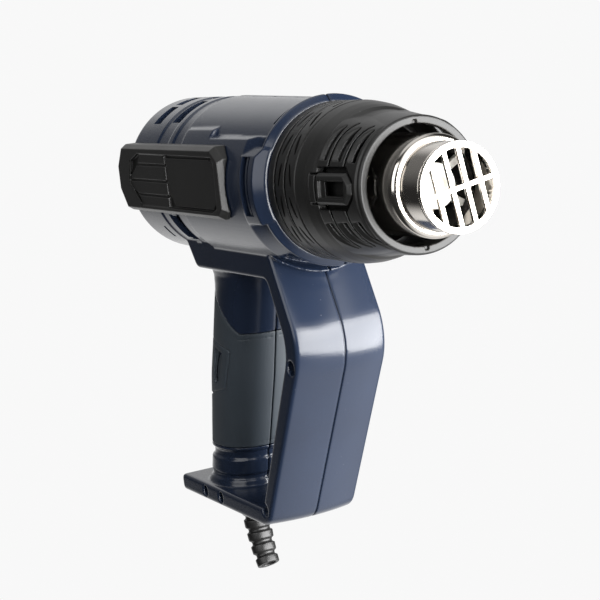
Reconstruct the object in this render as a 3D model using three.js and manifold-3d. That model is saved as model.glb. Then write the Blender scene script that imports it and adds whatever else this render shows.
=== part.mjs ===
import * as THREE from "three";
import { mergeVertices } from "three/addons/utils/BufferGeometryUtils.js";
import Module from "manifold-3d";

const wasm = await Module();
wasm.setup();

// Hot air tool with a closed D-shaped handle. Millimetres, +X along the nozzle, +Y to the tool's left and +Z
// up. The origin is the centre of the flat rear face, on the barrel's axis.

// Fits
const FIT = 0.3; // gap between pieces that touch
const PARTING_GAP = 0.3; // between the two housing halves

// Barrel
const BARREL_RADIUS = 36.6;
const BARREL_WALL = 3.2;
const REAR_ROUND = 5.3;
const REAR_LIP = 1; // flat rim left round the rear opening
const REAR_LIP_DEPTH = 2.3;
const GROOVES = [
  { rear: 32, front: 45 },
  { rear: 50, front: 60.5 },
]; // shallow ring grooves behind the upper panel
const GROOVE_DEPTH = 0.6;
const PANEL_RISE = 0.3; // of the upper panel's rear edge over the barrel
const PANEL_TAPER = 2; // the panel draws in gently to the front
const FLANGE_FRONT = 149;
const FLANGE_LENGTH = 4.5;
const FLANGE_DROP = 0.2; // below the barrel's radius
const FLANGE_CHAMFER = 1;
const STEP = 0.8; // length of the slopes beside the groove and the flange
const FRONT_WALL = 4.8;
const FRONT_BORE_DEPTH = 13;

// Raised sides of the barrel, whose sloped upper edge steps down once; angles in degrees from the top
const SIDE_PROUD = 1.3;
const SIDE_REAR_GAP = 3; // from the panel's rear edge
const SIDE_STEP_X = 92;
const SIDE_REAR_ANGLE = 45.2;
const SIDE_FRONT_ANGLE = 52.3;
const SIDE_BOTTOM_ANGLE = 143;
const SIDE_SLOPE = { angle: 4, drop: 1.6 };

// Lug on each side, running into the flange, with a recess parted by a low rib
const LUG_LENGTH = 17.5;
const LUG_PROUD = 1.8;
const LUG_ANGLES = [61, 112];
const LUG_SLOPE = { angle: 7, drop: 2 };
const LUG_RECESS_OFFSET = 1.5; // from the lug's rear edge
const LUG_RECESS_LENGTH = 7.5;
const LUG_RECESS_DEPTH = 2.6;
const LUG_RECESS_ANGLES = [68, 106];
const LUG_RIB_OFFSET = 3; // from the recess's rear edge
const LUG_RIB_WIDTH = 1.5;
const LUG_RIB_DROP = 1;

// Air inlets round the rear of the barrel: place along X, width and angle from the top, on both sides
const VENTS = [
  { x: 19, width: 8, from: 23, to: 43 },
  { x: 19, width: 8, from: 3, to: 20 },
  { x: 39.5, width: 10, from: 11, to: 41 },
  { x: 24, width: 2.5, from: 126, to: 138 },
  { x: 45, width: 12, from: 114, to: 138 },
];
const FLANGE_SLIT = { gap: 0.9, width: 4, from: 21, to: 41 }; // slit behind the flange, on both sides

// Handle: neck, hand guard and base are one slab, seen from the side in X and Z
const HANDLE_WIDTH = 44.6;
const HANDLE_EDGE_ROUND = 1.4;
const NECK_REAR_TOP = [31, -29.6];
const NECK_REAR_SLOPE = 0.7; // X per Z
const NECK_HEIGHT = 5.1; // from the barrel's underside to the soffit over the grip
const GUARD_TOP = [119, -30];
const GUARD_KNEE = [138.8, -71.8];
const GUARD_FOOT_X = 87;
const GUARD_CROWN = 4; // the front face stands further forward on the centre line
const GUARD_THICKNESS_TOP = 10.8;
const GUARD_THICKNESS_KNEE = 12;
const GUARD_THICKNESS_FOOT = 9;
const GUARD_KNEE_ROUND = 26;
const GUARD_FOOT_ROUND = 13;
const INNER_ROUND = 5;
const BASE_REAR_X = -11;
const BASE_BOTTOM_Z = -159.7;
const BASE_THICKNESS = 8.2;
const BASE_END_ROUND = 2.6;

// Grip: horizontal sections as [Z, half depth in X, half width in Y], leaning back as it goes down
const GRIP_LEAN = 0.335; // X per Z
const GRIP_CENTRE_X = 60.2; // at the soffit
const GRIP_SECTIONS = [
  [6, 26.5, 20.6],
  [0, 25, 20],
  [-3.3, 23, 19],
  [-10, 22, 18.5],
  [-30, 22, 18.8],
  [-53, 22.4, 19.2],
  [-73, 21.4, 18.6],
  [-90.6, 20.6, 18.2],
  [-91.4, 19, 16.8],
  [-95.2, 19, 16.8],
  [-96, 20.2, 18],
  [-103.2, 20.2, 18],
  [-103.8, 19.3, 17.2],
  [-106, 19.3, 17.2],
  [-106.6, 20.4, 18.1],
  [-109.8, 22, 19],
  [-113, 24, 20],
];
const GRIP_POINTS = 24;
const GRIP_SQUARENESS = 2.3; // 2 is an ellipse
const GRIP_WALL = 2.6;
const COVER_THICKNESS = 2;
const COVER_BOTTOM = -89.2; // below the soffit
const COVER_FRONT_TOP = -30.8;
const COVER_KNEE_X = 3.6; // where the upper edge turns up, in front of the soffit's centre
const GRIP_CAVITY = [-18, -53, -90, -107.8]; // below the soffit, from top to bottom
const WIRE_CHANNEL_RADIUS = 8;

// Screws that hold the halves together, in X and Z, with the radius of the well they sit in
const SCREW_LENGTH = 16;
const SCREW_HEAD_LENGTH = 2.4;
const SCREW_SHANK_RADIUS = 1.5;
const SCREW_DEPTH = 7; // of the well
const GUARD_SCREW_SETBACK = [10.2, 7.7]; // behind and below the knee
const CORNER_SCREW_SETBACK = [2, 8.2]; // behind the guard's foot and above the base's underside
const BASE_SCREW_HEIGHT = 4.3; // above the base's underside
const SCREWS = [
  {
    name: "guard_screw",
    x: GUARD_KNEE[0] - GUARD_SCREW_SETBACK[0],
    z: GUARD_KNEE[1] - GUARD_SCREW_SETBACK[1],
    well: 3.3,
  },
  {
    name: "corner_screw",
    x: GUARD_FOOT_X - CORNER_SCREW_SETBACK[0],
    z: BASE_BOTTOM_Z + CORNER_SCREW_SETBACK[1],
    well: 3.1,
  },
  { name: "base_front_screw", x: 35.3, z: BASE_BOTTOM_Z + BASE_SCREW_HEIGHT, well: 2.6 },
  { name: "base_rear_screw", x: 17.3, z: BASE_BOTTOM_Z + BASE_SCREW_HEIGHT, well: 2.6 },
];

// Side pads
const PAD_PROUD = 3.3; // over the raised sides
const PAD_OUTLINE = [
  [8.5, 18.8],
  [112, 18.8],
  [118.5, 13.5],
  [118.5, -9.5],
  [114.5, -12.9],
  [9, -12.9],
  [2.2, -3],
  [2.2, 9],
]; // corners in X and Z
const PAD_SIDE_BEVEL = 1.9;
const PAD_END_BEVEL = 0.8;
const PAD_BEVEL_DEPTH = 3;
const PAD_FIELD = [
  [28.7, 15.4],
  [18.6, 11.7],
  [15, 0.5],
  [28, -10.2],
  [108.6, -10.2],
  [113.4, -8.1],
  [114.7, 11.3],
  [112.6, 14.7],
]; // sunk field inside the frame
const PAD_FIELD_DEPTH = 1.8;
const PAD_BARS = [
  [59.5, 14.8],
  [31, 14.8],
  [26.5, 9.6],
  [15.4, 3],
  [15.4, -0.6],
  [24, -4.4],
  [28, -9.8],
  [59.5, -9.8],
]; // raised bars at the rear of the field
const PAD_BAR_GAPS = [9.7, 2.2, -4.6];
const PAD_BAR_GAP_WIDTH = 1.2;
const PAD_BAR_DROP = 0.5; // bars stay below the frame

// Front collar with its engraved tread
const COLLAR_FRONT = 173.4;
const COLLAR_DROP = 3.2; // below the barrel's radius
const COLLAR_WALL = 5.8;
const COLLAR_GROOVES = [6, 15]; // from the collar's rear edge
const COLLAR_GROOVE_WIDTH = 1;
const COLLAR_GROOVE_DEPTH = 1;
const SPIGOT_DROP = 4; // below the collar's radius
const SPIGOT_LENGTH = 7;
const SPIGOT_WALL = 3.8;
const TREAD_COUNT = 12;
const TREAD_LENGTH = 8.5;
const TREAD_WIDTH = 0.9;
const TREAD_DEPTH = 0.9;
const TREAD_TILT = 15; // degrees, to either side in turn
const TREAD_ROWS = [10.5, 19.6];

// Nose guard
const NOSE_FRONT = 215.7;
const NOSE_SHOULDER = [
  [0, 0.1],
  [6.3, 0.9],
  [12, 2.2],
  [17, 3.8],
  [22, 4.9],
]; // distance from its rear edge and drop below the collar
const NOSE_FRONT_DROP = 6.2;
const NOSE_RIM = 3.4;
const NOSE_RIM_LENGTH = 3.6;
const NOSE_RIM_ROUND = 0.7;
const NOSE_WALL = 1.5; // behind the rim
const NOSE_THROAT_DROP = 1.9; // below the collar's spigot, just in front of it
const LOUVRE_REAR = { x: 187.3, rise: 0.5 }; // tapered side panel that carries the slots
const LOUVRE_FRONT = { x: 213.2, rise: 0.6 };
const LOUVRE_ANGLES = [33, 147];
const NOSE_SLOTS = [189.8, 198.7, 207.8];
const NOSE_SLOT_WIDTH = 4.2;
const NOSE_SLOT_HEIGHTS = [
  [14.2, 24.6],
  [-23, -11.6],
];
const NOSE_LINES = [195.1, 203.8]; // thin grooves between the slots
const NOSE_LINE_WIDTH = 0.9;
const NOSE_LINE_DEPTH = 1;
const NOSE_LINE_ANGLES = [31, 135];

// Release clip on the right side of the nose guard
const CLIP_REAR = 187.8;
const CLIP_FRONT = 210.6;
const CLIP_CENTRE_Z = 1.9;
const CLIP_WIDTH = 12.4;
const CLIP_CORNER = 4;
const CLIP_PROUD = 1;
const CLIP_SUNK = 2.6;
const CLIP_END_GAP = 0.7;
const CLIP_SIDE_GAP = 2.2;
const CLIP_WINDOW_REAR = 190.2;
const CLIP_WINDOW_LENGTH = 17;
const CLIP_WINDOW_WIDTH = 7;
const CLIP_WINDOW_DEPTH = 2.6;
const CLIP_TAB_LENGTH = 4;
const CLIP_TAB_WIDTH = 11;
const CLIP_TAB_PROUD = 0.7;

// Nozzle and grille
const NOZZLE_RADIUS = 17.5;
const NOZZLE_BODY_RADIUS = 20.2;
const NOZZLE_SHOULDER = 229; // front of the wider part
const NOZZLE_END_LENGTH = 15;
const NOZZLE_SHOULDER_ROUND = 2.4;
const NOZZLE_WALL = 0.9;
const NOZZLE_FLANGE_GAP = 0.4; // round the flange, in the collar
const NOZZLE_FLANGE_REAR = 139;
const NOZZLE_FLANGE_THICKNESS = 1.6;
const GRILLE_THICKNESS = 1.6;
const GRILLE_SPIGOT = 3;
const GRILLE_RIM = 2.6;
const GRILLE_BAR = 2;
const GRILLE_COLUMNS = 5;
const GRILLE_TURN = 10; // degrees about the barrel's axis

// Heater inside the nozzle
const MICA_REAR = 105;
const MICA_SETBACK = 5; // from the nozzle's shoulder
const MICA_WALL = 0.9;
const CORE_RADIUS = 9;
const CORE_REAR = 112;
const CORE_SETBACK = 2;
const CORE_BORE = 5;
const CORE_BORE_DEPTH = 3;
const CORE_SPIDER = 3;
const CORE_ARM_WIDTH = 3;
const CORE_ARMS = 3;
const COIL_TURNS = 8;
const COIL_STEPS = 8; // in each turn
const COIL_WIRE = 0.8;
const COIL_CLEARANCE = 1.2;

// Blower
const MOTOR_REAR = 16;
const MOTOR_FRONT = 59.6;
const MOTOR_RADIUS = 17;
const MOTOR_ROUND = 2;
const MOTOR_BOSS_RADIUS = 5;
const MOUNT_THICKNESS = 3;
const MOUNT_RIM = 4;
const MOUNT_HUB = 11;
const MOUNT_ARMS = 4;
const MOUNT_ARM_WIDTH = 8;
const SHAFT_RADIUS = 1.5;
const SHAFT_LENGTH = 34;
const FAN_GAP = 2.6; // between the mount and the fan
const FAN_LENGTH = 16;
const FAN_TIP_GAP = 2.4;
const FAN_HUB_RADIUS = 8;
const FAN_BLADES = 7;
const FAN_BLADE_THICKNESS = 1.4;
const FAN_BLADE_CAMBER = 3;
const FAN_PITCH = 38; // degrees
const DUCT_GAP = 3;
const DUCT_RIM_LENGTH = 4;
const DUCT_CONE_LENGTH = 16;
const DUCT_SPIGOT_LENGTH = 5.5;
const DUCT_WALL = 1.8;

// Rear cap with its ring of inlet slots
const CAP_FLANGE_THICKNESS = 2;
const CAP_CENTRE_RADIUS = 11;
const CAP_SLOT_WIDTH = 4.4;
const CAP_SLOT_PITCH = 8;
const CAP_SLOT_RINGS = 2;
const CAP_SLOT_ARC = 56; // degrees
const CAP_SPOKES = 5;

// Rocker switch on the rear of the grip
const SWITCH_DROP = 49.3; // below the soffit
const SWITCH_SEAT = 3.2; // depth of the flat it sits on
const SWITCH_BEZEL = [1.6, 17, 24];
const SWITCH_BODY = [15, 14.6, 20.6];
const ROCKER_SIZE = [5, 10, 15];
const ROCKER_DISH = 1.4;
const ROCKER_GAP = 1;
const ROCKER_WINDOW_DEPTH = 5.6; // below the seat

// Control board and cord entry
const BOARD_SIZE = [1.6, 27, 34];
const BOARD_DROP = 72; // below the soffit
const CAPACITOR = { radius: 4, height: 9, y: 4, z: 8 };
const RELAY = { height: 8, y0: -9, y1: 1, z0: -14, z1: -2 };
const CORD_X = 25.6;
const CORD_RADIUS = 3.6;
const GLAND_RADIUS = 5.4;
const GLAND_FLANGE_RADIUS = 8;
const GLAND_FLANGE_THICKNESS = 2;
const GLAND_BOSS_TOP_RADIUS = 19;
const GLAND_BOSS_BOTTOM_RADIUS = 9.5;
const GLAND_BOSS_LENGTH = 6.3;
const SLEEVE_LENGTH = 33;
const SLEEVE_BEND = 34; // degrees forward from one end to the other
const SLEEVE_TOP_RADIUS = 7.2;
const SLEEVE_END_RADIUS = 5.4;
const SLEEVE_RIBS = 5;
const SLEEVE_GROOVE = 1.2;
const SLEEVE_POINTS = 12;
const SLEEVE_MOUTH_DEPTH = 8;
const CLAMP_SIZE = [11, 20, 5];

// Facets
const ROUND = 40;
const SMALL_ROUND = 16;
const PIN_ROUND = 12;
const CORNER_STEPS = 3;
const REACH = 400; // longer than the tool, for cutting right through

const DEG = Math.PI / 180;
const X = new THREE.Vector3(1, 0, 0);
const Y = new THREE.Vector3(0, 1, 0);
const Z = new THREE.Vector3(0, 0, 1);
const DRAWN_ALONG_X = new THREE.Matrix4().makeBasis(Y, Z, X); // a drawing in Y and Z, pulled along +X
const DRAWN_ALONG_Y = new THREE.Matrix4().makeBasis(X, Z, Y.clone().negate()); // in X and Z, along -Y
const TURNED_ABOUT_X = new THREE.Matrix4().makeBasis(Y, X, Z.clone().negate());
const TURNED_ABOUT_Z = new THREE.Matrix4().makeBasis(X, Z, Y.clone().negate());

const plastic = (color, roughness) => new THREE.MeshStandardMaterial({ color, roughness, metalness: 0 });
const metal = (color, roughness) => new THREE.MeshStandardMaterial({ color, roughness, metalness: 1 });
const MATERIALS = {
  navy: plastic(0x2c3650, 0.38),
  black: plastic(0x2b2b2b, 0.6),
  rubber: plastic(0x414c59, 0.75),
  chrome: metal(0xd9d4cb, 0.15),
  steel: metal(0x8c8f94, 0.4),
  copper: metal(0xa87a4f, 0.4),
  ceramic: plastic(0xe8e4da, 0.5),
  mica: plastic(0xb59a72, 0.6),
  board: plastic(0x2f5a3c, 0.6),
};

// A closed geometry as a solid, with its faces turned outwards.
function solidOf(geometry) {
  const bare = new THREE.BufferGeometry();
  bare.setAttribute("position", geometry.getAttribute("position"));
  bare.setIndex(geometry.index);
  const merged = mergeVertices(bare);
  const corners = merged.getAttribute("position");
  const [a, b, c] = [new THREE.Vector3(), new THREE.Vector3(), new THREE.Vector3()];
  const faces = [];
  let volume = 0;
  for (let i = 0; i < merged.index.count; i += 3) {
    const face = [0, 1, 2].map((k) => merged.index.getX(i + k));
    if (new Set(face).size < 3) continue;
    faces.push(face);
    a.fromBufferAttribute(corners, face[0]);
    b.fromBufferAttribute(corners, face[1]);
    c.fromBufferAttribute(corners, face[2]);
    volume += a.dot(b.cross(c));
  }
  if (volume < 0) faces.forEach((face) => face.reverse());
  const vertProperties = new Float32Array(corners.array);
  const triVerts = Uint32Array.from(faces.flat());
  return new wasm.Manifold(new wasm.Mesh({ numProp: 3, vertProperties, triVerts }));
}

const join = (...solids) => solids.flat().reduce((sum, next) => sum.add(next));
const cut = (body, ...tools) => tools.flat().reduce((rest, tool) => rest.subtract(tool), body);
const common = (...solids) => solids.flat().reduce((both, next) => both.intersect(next));
const range = (count) => Array.from({ length: count }, (_, i) => i);

// A named mesh of a solid, added to its group.
function piece(group, name, solid, material) {
  const { vertProperties, triVerts } = solid.getMesh();
  const geometry = new THREE.BufferGeometry();
  geometry.setAttribute("position", new THREE.BufferAttribute(vertProperties, 3));
  geometry.setIndex(new THREE.BufferAttribute(triVerts, 1));
  geometry.computeVertexNormals();
  const mesh = new THREE.Mesh(geometry, material.clone());
  mesh.name = name;
  group.add(mesh);
  return mesh;
}

// A profile of [X, radius] points turned about the barrel's axis.
function turned(profile, segments = ROUND) {
  const points = profile.map(([x, radius]) => new THREE.Vector2(radius, x));
  const closesOnAxis = points[0].x === 0 && points.at(-1).x === 0;
  if (!closesOnAxis) points.push(points[0].clone());
  return solidOf(new THREE.LatheGeometry(points, segments).applyMatrix4(TURNED_ABOUT_X));
}

const disc = (x0, x1, radius, segments = ROUND) =>
  turned([[x0, 0], [x0, radius], [x1, radius], [x1, 0]], segments);
const ring = (x0, x1, inner, outer, segments = ROUND) =>
  turned([[x0, inner], [x0, outer], [x1, outer], [x1, inner]], segments);

// A piece of a ring about the barrel's axis, between two angles in degrees from the top towards -Y. A slope
// draws its upper end in over some degrees.
function sector(x0, x1, inner, outer, from, to, slope = { angle: 0, drop: 0 }) {
  const turn = (angle) => (90 + angle) * DEG;
  const low = outer - slope.drop;
  const shape = new THREE.Shape();
  shape.absarc(0, 0, outer, turn(from + slope.angle), turn(to), false);
  shape.absarc(0, 0, inner, turn(to), turn(from), true);
  if (slope.drop) shape.lineTo(low * Math.cos(turn(from)), low * Math.sin(turn(from)));
  const curveSegments = Math.max(2, Math.ceil((to - from) / 20));
  const prism = new THREE.ExtrudeGeometry(shape, { depth: x1 - x0, bevelEnabled: false, curveSegments });
  return solidOf(prism.applyMatrix4(DRAWN_ALONG_X).translate(x0, 0, 0));
}

// The same sector on the right and on the left side.
const mirrored = (solid) => solid.mirror([0, 1, 0]);
const sectors = (...span) => [sector(...span), mirrored(sector(...span))];

const box = (x0, x1, y0, y1, z0, z1) =>
  solidOf(
    new THREE.BoxGeometry(x1 - x0, y1 - y0, z1 - z0).translate((x0 + x1) / 2, (y0 + y1) / 2, (z0 + z1) / 2),
  );

// A round bar along Y.
const crossBar = (x, z, y0, y1, radius, segments = SMALL_ROUND) =>
  solidOf(new THREE.CylinderGeometry(radius, radius, y1 - y0, segments).translate(x, (y0 + y1) / 2, z));

// An outline in X and Z, pulled along Y.
function sidePrism(points, y0, y1) {
  const shape = new THREE.Shape(points.map(([x, z]) => new THREE.Vector2(x, z)));
  const prism = new THREE.ExtrudeGeometry(shape, { depth: y1 - y0, bevelEnabled: false });
  return solidOf(prism.applyMatrix4(DRAWN_ALONG_Y).translate(0, y1, 0));
}

// Corners given as [X, Z, radius], with each rounded by an arc of the same number of points.
function rounded(corners) {
  return corners.flatMap(([x, z, radius], i) => {
    const here = new THREE.Vector2(x, z);
    if (!radius) return [here];
    const [px, pz] = corners.at(i - 1);
    const [nx, nz] = corners[(i + 1) % corners.length];
    const back = new THREE.Vector2(px, pz).sub(here).normalize();
    const ahead = new THREE.Vector2(nx, nz).sub(here).normalize();
    const half = Math.acos(back.dot(ahead)) / 2;
    const centre = back.clone().add(ahead).setLength(radius / Math.sin(half)).add(here);
    const start = back.clone().multiplyScalar(radius / Math.tan(half)).add(here).sub(centre);
    const sweep = (Math.PI - 2 * half) * Math.sign(back.cross(ahead)) * -1;
    const origin = new THREE.Vector2();
    return range(CORNER_STEPS + 1).map((k) =>
      start.clone().rotateAround(origin, (sweep * k) / CORNER_STEPS).add(centre),
    );
  });
}

// An outline moved inwards by a distance.
function inset(outline, distance) {
  const inward = Math.sign(THREE.ShapeUtils.area(outline)) * distance;
  return outline.map((point, i) => {
    const before = point.clone().sub(outline.at(i - 1)).normalize();
    const after = outline[(i + 1) % outline.length].clone().sub(point).normalize();
    const normal = before.clone().add(after).normalize();
    const miter = inward / Math.max(normal.dot(before), 0.5);
    return new THREE.Vector2(point.x - normal.y * miter, point.y + normal.x * miter);
  });
}

// A closed skin over a row of outlines with equal numbers of points; place puts a point of one in space.
function loft(outlines, place) {
  const count = outlines[0].length;
  const last = outlines.length - 1;
  const positions = outlines.flatMap((outline, i) => outline.flatMap((point) => place(point, i).toArray()));
  const faces = [];
  for (let i = 0; i < last; i += 1) {
    for (let j = 0; j < count; j += 1) {
      const [near, next] = [i * count + j, i * count + ((j + 1) % count)];
      faces.push(near, next, next + count, near, next + count, near + count);
    }
  }
  [0, last].forEach((end) => {
    const outline = outlines[end];
    const way = Math.sign(THREE.ShapeUtils.area(outline)) * (end === 0 ? -1 : 1);
    THREE.ShapeUtils.triangulateShape(outline, []).forEach((face) => {
      const facing = Math.sign(THREE.ShapeUtils.area(face.map((k) => outline[k])));
      const ordered = facing === way ? face : face.slice().reverse();
      faces.push(...ordered.map((k) => end * count + k));
    });
  });
  const geometry = new THREE.BufferGeometry();
  geometry.setAttribute("position", new THREE.Float32BufferAttribute(positions, 3));
  geometry.setIndex(faces);
  return solidOf(geometry);
}

// Values worked out from the driving dimensions
const BORE_RADIUS = BARREL_RADIUS - BARREL_WALL;
const PANEL_REAR_RADIUS = BARREL_RADIUS + PANEL_RISE;
const PANEL_FRONT_RADIUS = PANEL_REAR_RADIUS - PANEL_TAPER;
const FLANGE_RADIUS = BARREL_RADIUS - FLANGE_DROP;
const FRONT_BORE_RADIUS = FLANGE_RADIUS - FRONT_WALL;
const SIDE_RADIUS = BARREL_RADIUS + SIDE_PROUD;
const LUG_RADIUS = BARREL_RADIUS + LUG_PROUD;
const PAD_OUTER_Y = SIDE_RADIUS + PAD_PROUD;
const SOFFIT_Z = -BARREL_RADIUS - NECK_HEIGHT;
const FLANGE_REAR = FLANGE_FRONT - FLANGE_LENGTH;
const PANEL_REAR = GROOVES.at(-1).front;
const LUG_REAR = FLANGE_FRONT - LUG_LENGTH;
const COLLAR_RADIUS = BARREL_RADIUS - COLLAR_DROP;
const COLLAR_BORE = COLLAR_RADIUS - COLLAR_WALL;
const SPIGOT_RADIUS = COLLAR_RADIUS - SPIGOT_DROP;
const SPIGOT_BORE = SPIGOT_RADIUS - SPIGOT_WALL;
const NOSE_FRONT_RADIUS = COLLAR_RADIUS - NOSE_FRONT_DROP;
const NOSE_BORE = NOSE_FRONT_RADIUS - NOSE_RIM;
const NOSE_THROAT = SPIGOT_RADIUS - NOSE_THROAT_DROP;
const NOZZLE_FLANGE_RADIUS = COLLAR_BORE - NOZZLE_FLANGE_GAP;
const MICA_FRONT = NOZZLE_SHOULDER - MICA_SETBACK;
const CORE_FRONT = NOZZLE_SHOULDER - CORE_SETBACK;
const REAR_OPENING = BARREL_RADIUS - REAR_ROUND - REAR_LIP;
const HALF_WIDTH = HANDLE_WIDTH / 2;
const BASE_TOP_Z = BASE_BOTTOM_Z + BASE_THICKNESS;
const GRIP_FLOOR_Z = SOFFIT_Z + GRIP_CAVITY.at(-1);
const COLLAR_REAR = FLANGE_FRONT + FIT;
const NOSE_REAR = COLLAR_FRONT + FIT;
const NOZZLE_FRONT = NOZZLE_SHOULDER + NOZZLE_END_LENGTH;
const NOSE_PROFILE = [
  ...NOSE_SHOULDER.map(([offset, drop]) => [NOSE_REAR + offset, COLLAR_RADIUS - drop]),
  [NOSE_FRONT - NOSE_RIM_ROUND, NOSE_FRONT_RADIUS],
];
const gripCentre = (z) => GRIP_CENTRE_X + GRIP_LEAN * (z - SOFFIT_Z);

// The nose guard's own radius, and that of its louvre panels, which taper straight
function noseRadius(x) {
  const next = NOSE_PROFILE.findIndex(([end]) => end >= x);
  const [rear, front] = [NOSE_PROFILE[next - 1], NOSE_PROFILE[next]];
  return THREE.MathUtils.mapLinear(x, rear[0], front[0], rear[1], front[1]);
}
const louvreEnds = [LOUVRE_REAR, LOUVRE_FRONT].map(({ x, rise }) => noseRadius(x) + rise);
const louvreRadius = (x) => THREE.MathUtils.mapLinear(x, LOUVRE_REAR.x, LOUVRE_FRONT.x, ...louvreEnds);

// Barrel shell
function barrelOuter() {
  const rearRound = range(CORNER_STEPS + 1).map((k) => {
    const angle = ((k / CORNER_STEPS) * Math.PI) / 2;
    return [REAR_ROUND * (1 - Math.cos(angle)), BARREL_RADIUS - REAR_ROUND * (1 - Math.sin(angle))];
  });
  return turned([
    [0, 0],
    ...rearRound,
    ...GROOVES.flatMap(({ rear, front }) => [
      [rear, BARREL_RADIUS],
      [rear + STEP, BARREL_RADIUS - GROOVE_DEPTH],
      [front - STEP, BARREL_RADIUS - GROOVE_DEPTH],
      [front, BARREL_RADIUS],
    ]),
    [PANEL_REAR, PANEL_REAR_RADIUS],
    [FLANGE_REAR - STEP, PANEL_FRONT_RADIUS],
    [FLANGE_REAR, FLANGE_RADIUS],
    [FLANGE_FRONT - FLANGE_CHAMFER, FLANGE_RADIUS],
    [FLANGE_FRONT, FLANGE_RADIUS - FLANGE_CHAMFER],
    [FLANGE_FRONT, 0],
  ]);
}

function barrelSides() {
  const root = BORE_RADIUS + BARREL_WALL / 4;
  const steps = [
    [PANEL_REAR + SIDE_REAR_GAP, SIDE_STEP_X, SIDE_REAR_ANGLE],
    [SIDE_STEP_X, LUG_REAR, SIDE_FRONT_ANGLE],
  ];
  return [
    ...steps.flatMap(([rear, front, top]) =>
      sectors(rear, front, root, SIDE_RADIUS, top, SIDE_BOTTOM_ANGLE, SIDE_SLOPE),
    ),
    ...sectors(LUG_REAR, FLANGE_FRONT, root, LUG_RADIUS, ...LUG_ANGLES, LUG_SLOPE),
  ];
}

function barrelCuts() {
  const bore = turned([
    [-1, 0],
    [-1, REAR_OPENING],
    [REAR_LIP_DEPTH, REAR_OPENING],
    [REAR_LIP_DEPTH, BORE_RADIUS],
    [FLANGE_FRONT - FRONT_BORE_DEPTH, BORE_RADIUS],
    [FLANGE_FRONT - FRONT_BORE_DEPTH, FRONT_BORE_RADIUS],
    [FLANGE_FRONT + 1, FRONT_BORE_RADIUS],
    [FLANGE_FRONT + 1, 0],
  ]);
  const vents = VENTS.flatMap(({ x, width, from, to }) =>
    sectors(x - width / 2, x + width / 2, BORE_RADIUS - 2, BARREL_RADIUS + 2, from, to),
  );
  const slitFront = FLANGE_REAR - FLANGE_SLIT.gap;
  const slits = sectors(
    slitFront - FLANGE_SLIT.width,
    slitFront,
    BORE_RADIUS - 2,
    SIDE_RADIUS + 2,
    FLANGE_SLIT.from,
    FLANGE_SLIT.to,
  );
  const recessRear = LUG_REAR + LUG_RECESS_OFFSET;
  const recessFront = recessRear + LUG_RECESS_LENGTH;
  const ribRear = recessRear + LUG_RIB_OFFSET;
  const floor = LUG_RADIUS - LUG_RECESS_DEPTH;
  const recesses = [
    [recessRear, recessFront, LUG_RADIUS - LUG_RIB_DROP],
    [recessRear, ribRear, floor],
    [ribRear + LUG_RIB_WIDTH, recessFront, floor],
  ].flatMap(([rear, front, depth]) => sectors(rear, front, depth, LUG_RADIUS + 2, ...LUG_RECESS_ANGLES));
  return [bore, ...vents, ...slits, ...recesses];
}

// Handle slab: the neck, the bent guard and the base, crowned on its front face
function handleOutline(crown) {
  const [topX, topZ] = GUARD_TOP;
  const [kneeX, kneeZ] = GUARD_KNEE;
  const [neckX, neckZ] = NECK_REAR_TOP;
  const hiddenZ = -BORE_RADIUS + BARREL_WALL * 2; // inside the barrel's bore
  const upperSlope = (kneeX - topX) / (kneeZ - topZ);
  const guardTop = topX + upperSlope * (hiddenZ - topZ) + crown;
  const soffitFront = topX + upperSlope * (SOFFIT_Z - topZ) - GUARD_THICKNESS_TOP;
  const lowerSlope = (kneeX - GUARD_FOOT_X) / (kneeZ - BASE_BOTTOM_Z);
  const footInside = GUARD_FOOT_X + lowerSlope * BASE_THICKNESS - GUARD_THICKNESS_FOOT;
  return rounded([
    [neckX - NECK_REAR_SLOPE * (hiddenZ - neckZ), hiddenZ, 0],
    [neckX - NECK_REAR_SLOPE * (SOFFIT_Z - neckZ), SOFFIT_Z, INNER_ROUND],
    [soffitFront, SOFFIT_Z, INNER_ROUND],
    [kneeX - GUARD_THICKNESS_KNEE, kneeZ, GUARD_KNEE_ROUND - GUARD_THICKNESS_KNEE / 2],
    [footInside, BASE_TOP_Z, INNER_ROUND],
    [BASE_REAR_X, BASE_TOP_Z, BASE_END_ROUND],
    [BASE_REAR_X, BASE_BOTTOM_Z, BASE_END_ROUND],
    [GUARD_FOOT_X + crown, BASE_BOTTOM_Z, GUARD_FOOT_ROUND],
    [kneeX + crown, kneeZ, GUARD_KNEE_ROUND],
    [guardTop, hiddenZ, 0],
  ]);
}

function handleSlab() {
  const flat = HALF_WIDTH - HANDLE_EDGE_ROUND;
  const crownAt = (y) => GUARD_CROWN * (1 - (y / HALF_WIDTH) ** 2);
  const stations = [
    { y: 0, inward: 0 },
    { y: flat / 3, inward: 0 },
    { y: (flat * 2) / 3, inward: 0 },
    { y: flat, inward: 0 },
    { y: HALF_WIDTH - HANDLE_EDGE_ROUND * 0.3, inward: HANDLE_EDGE_ROUND * 0.3 },
    { y: HALF_WIDTH, inward: HANDLE_EDGE_ROUND },
  ];
  const across = [...stations.slice(1).reverse().map(({ y, inward }) => ({ y: -y, inward })), ...stations];
  const outlines = across.map(({ y, inward }) => inset(handleOutline(crownAt(y)), inward));
  return loft(outlines, (point, i) => new THREE.Vector3(point.x, across[i].y, point.y));
}

// The grip's section at a height below the soffit
function gripSection(drop) {
  const next = Math.max(1, GRIP_SECTIONS.findIndex(([z]) => z <= drop));
  const [lowZ, lowDepth, lowWidth] = GRIP_SECTIONS[next];
  const [highZ, highDepth, highWidth] = GRIP_SECTIONS[next - 1];
  const share = (drop - highZ) / (lowZ - highZ);
  const mix = (high, low) => high + (low - high) * share;
  return [drop, mix(highDepth, lowDepth), mix(highWidth, lowWidth)];
}

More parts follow.
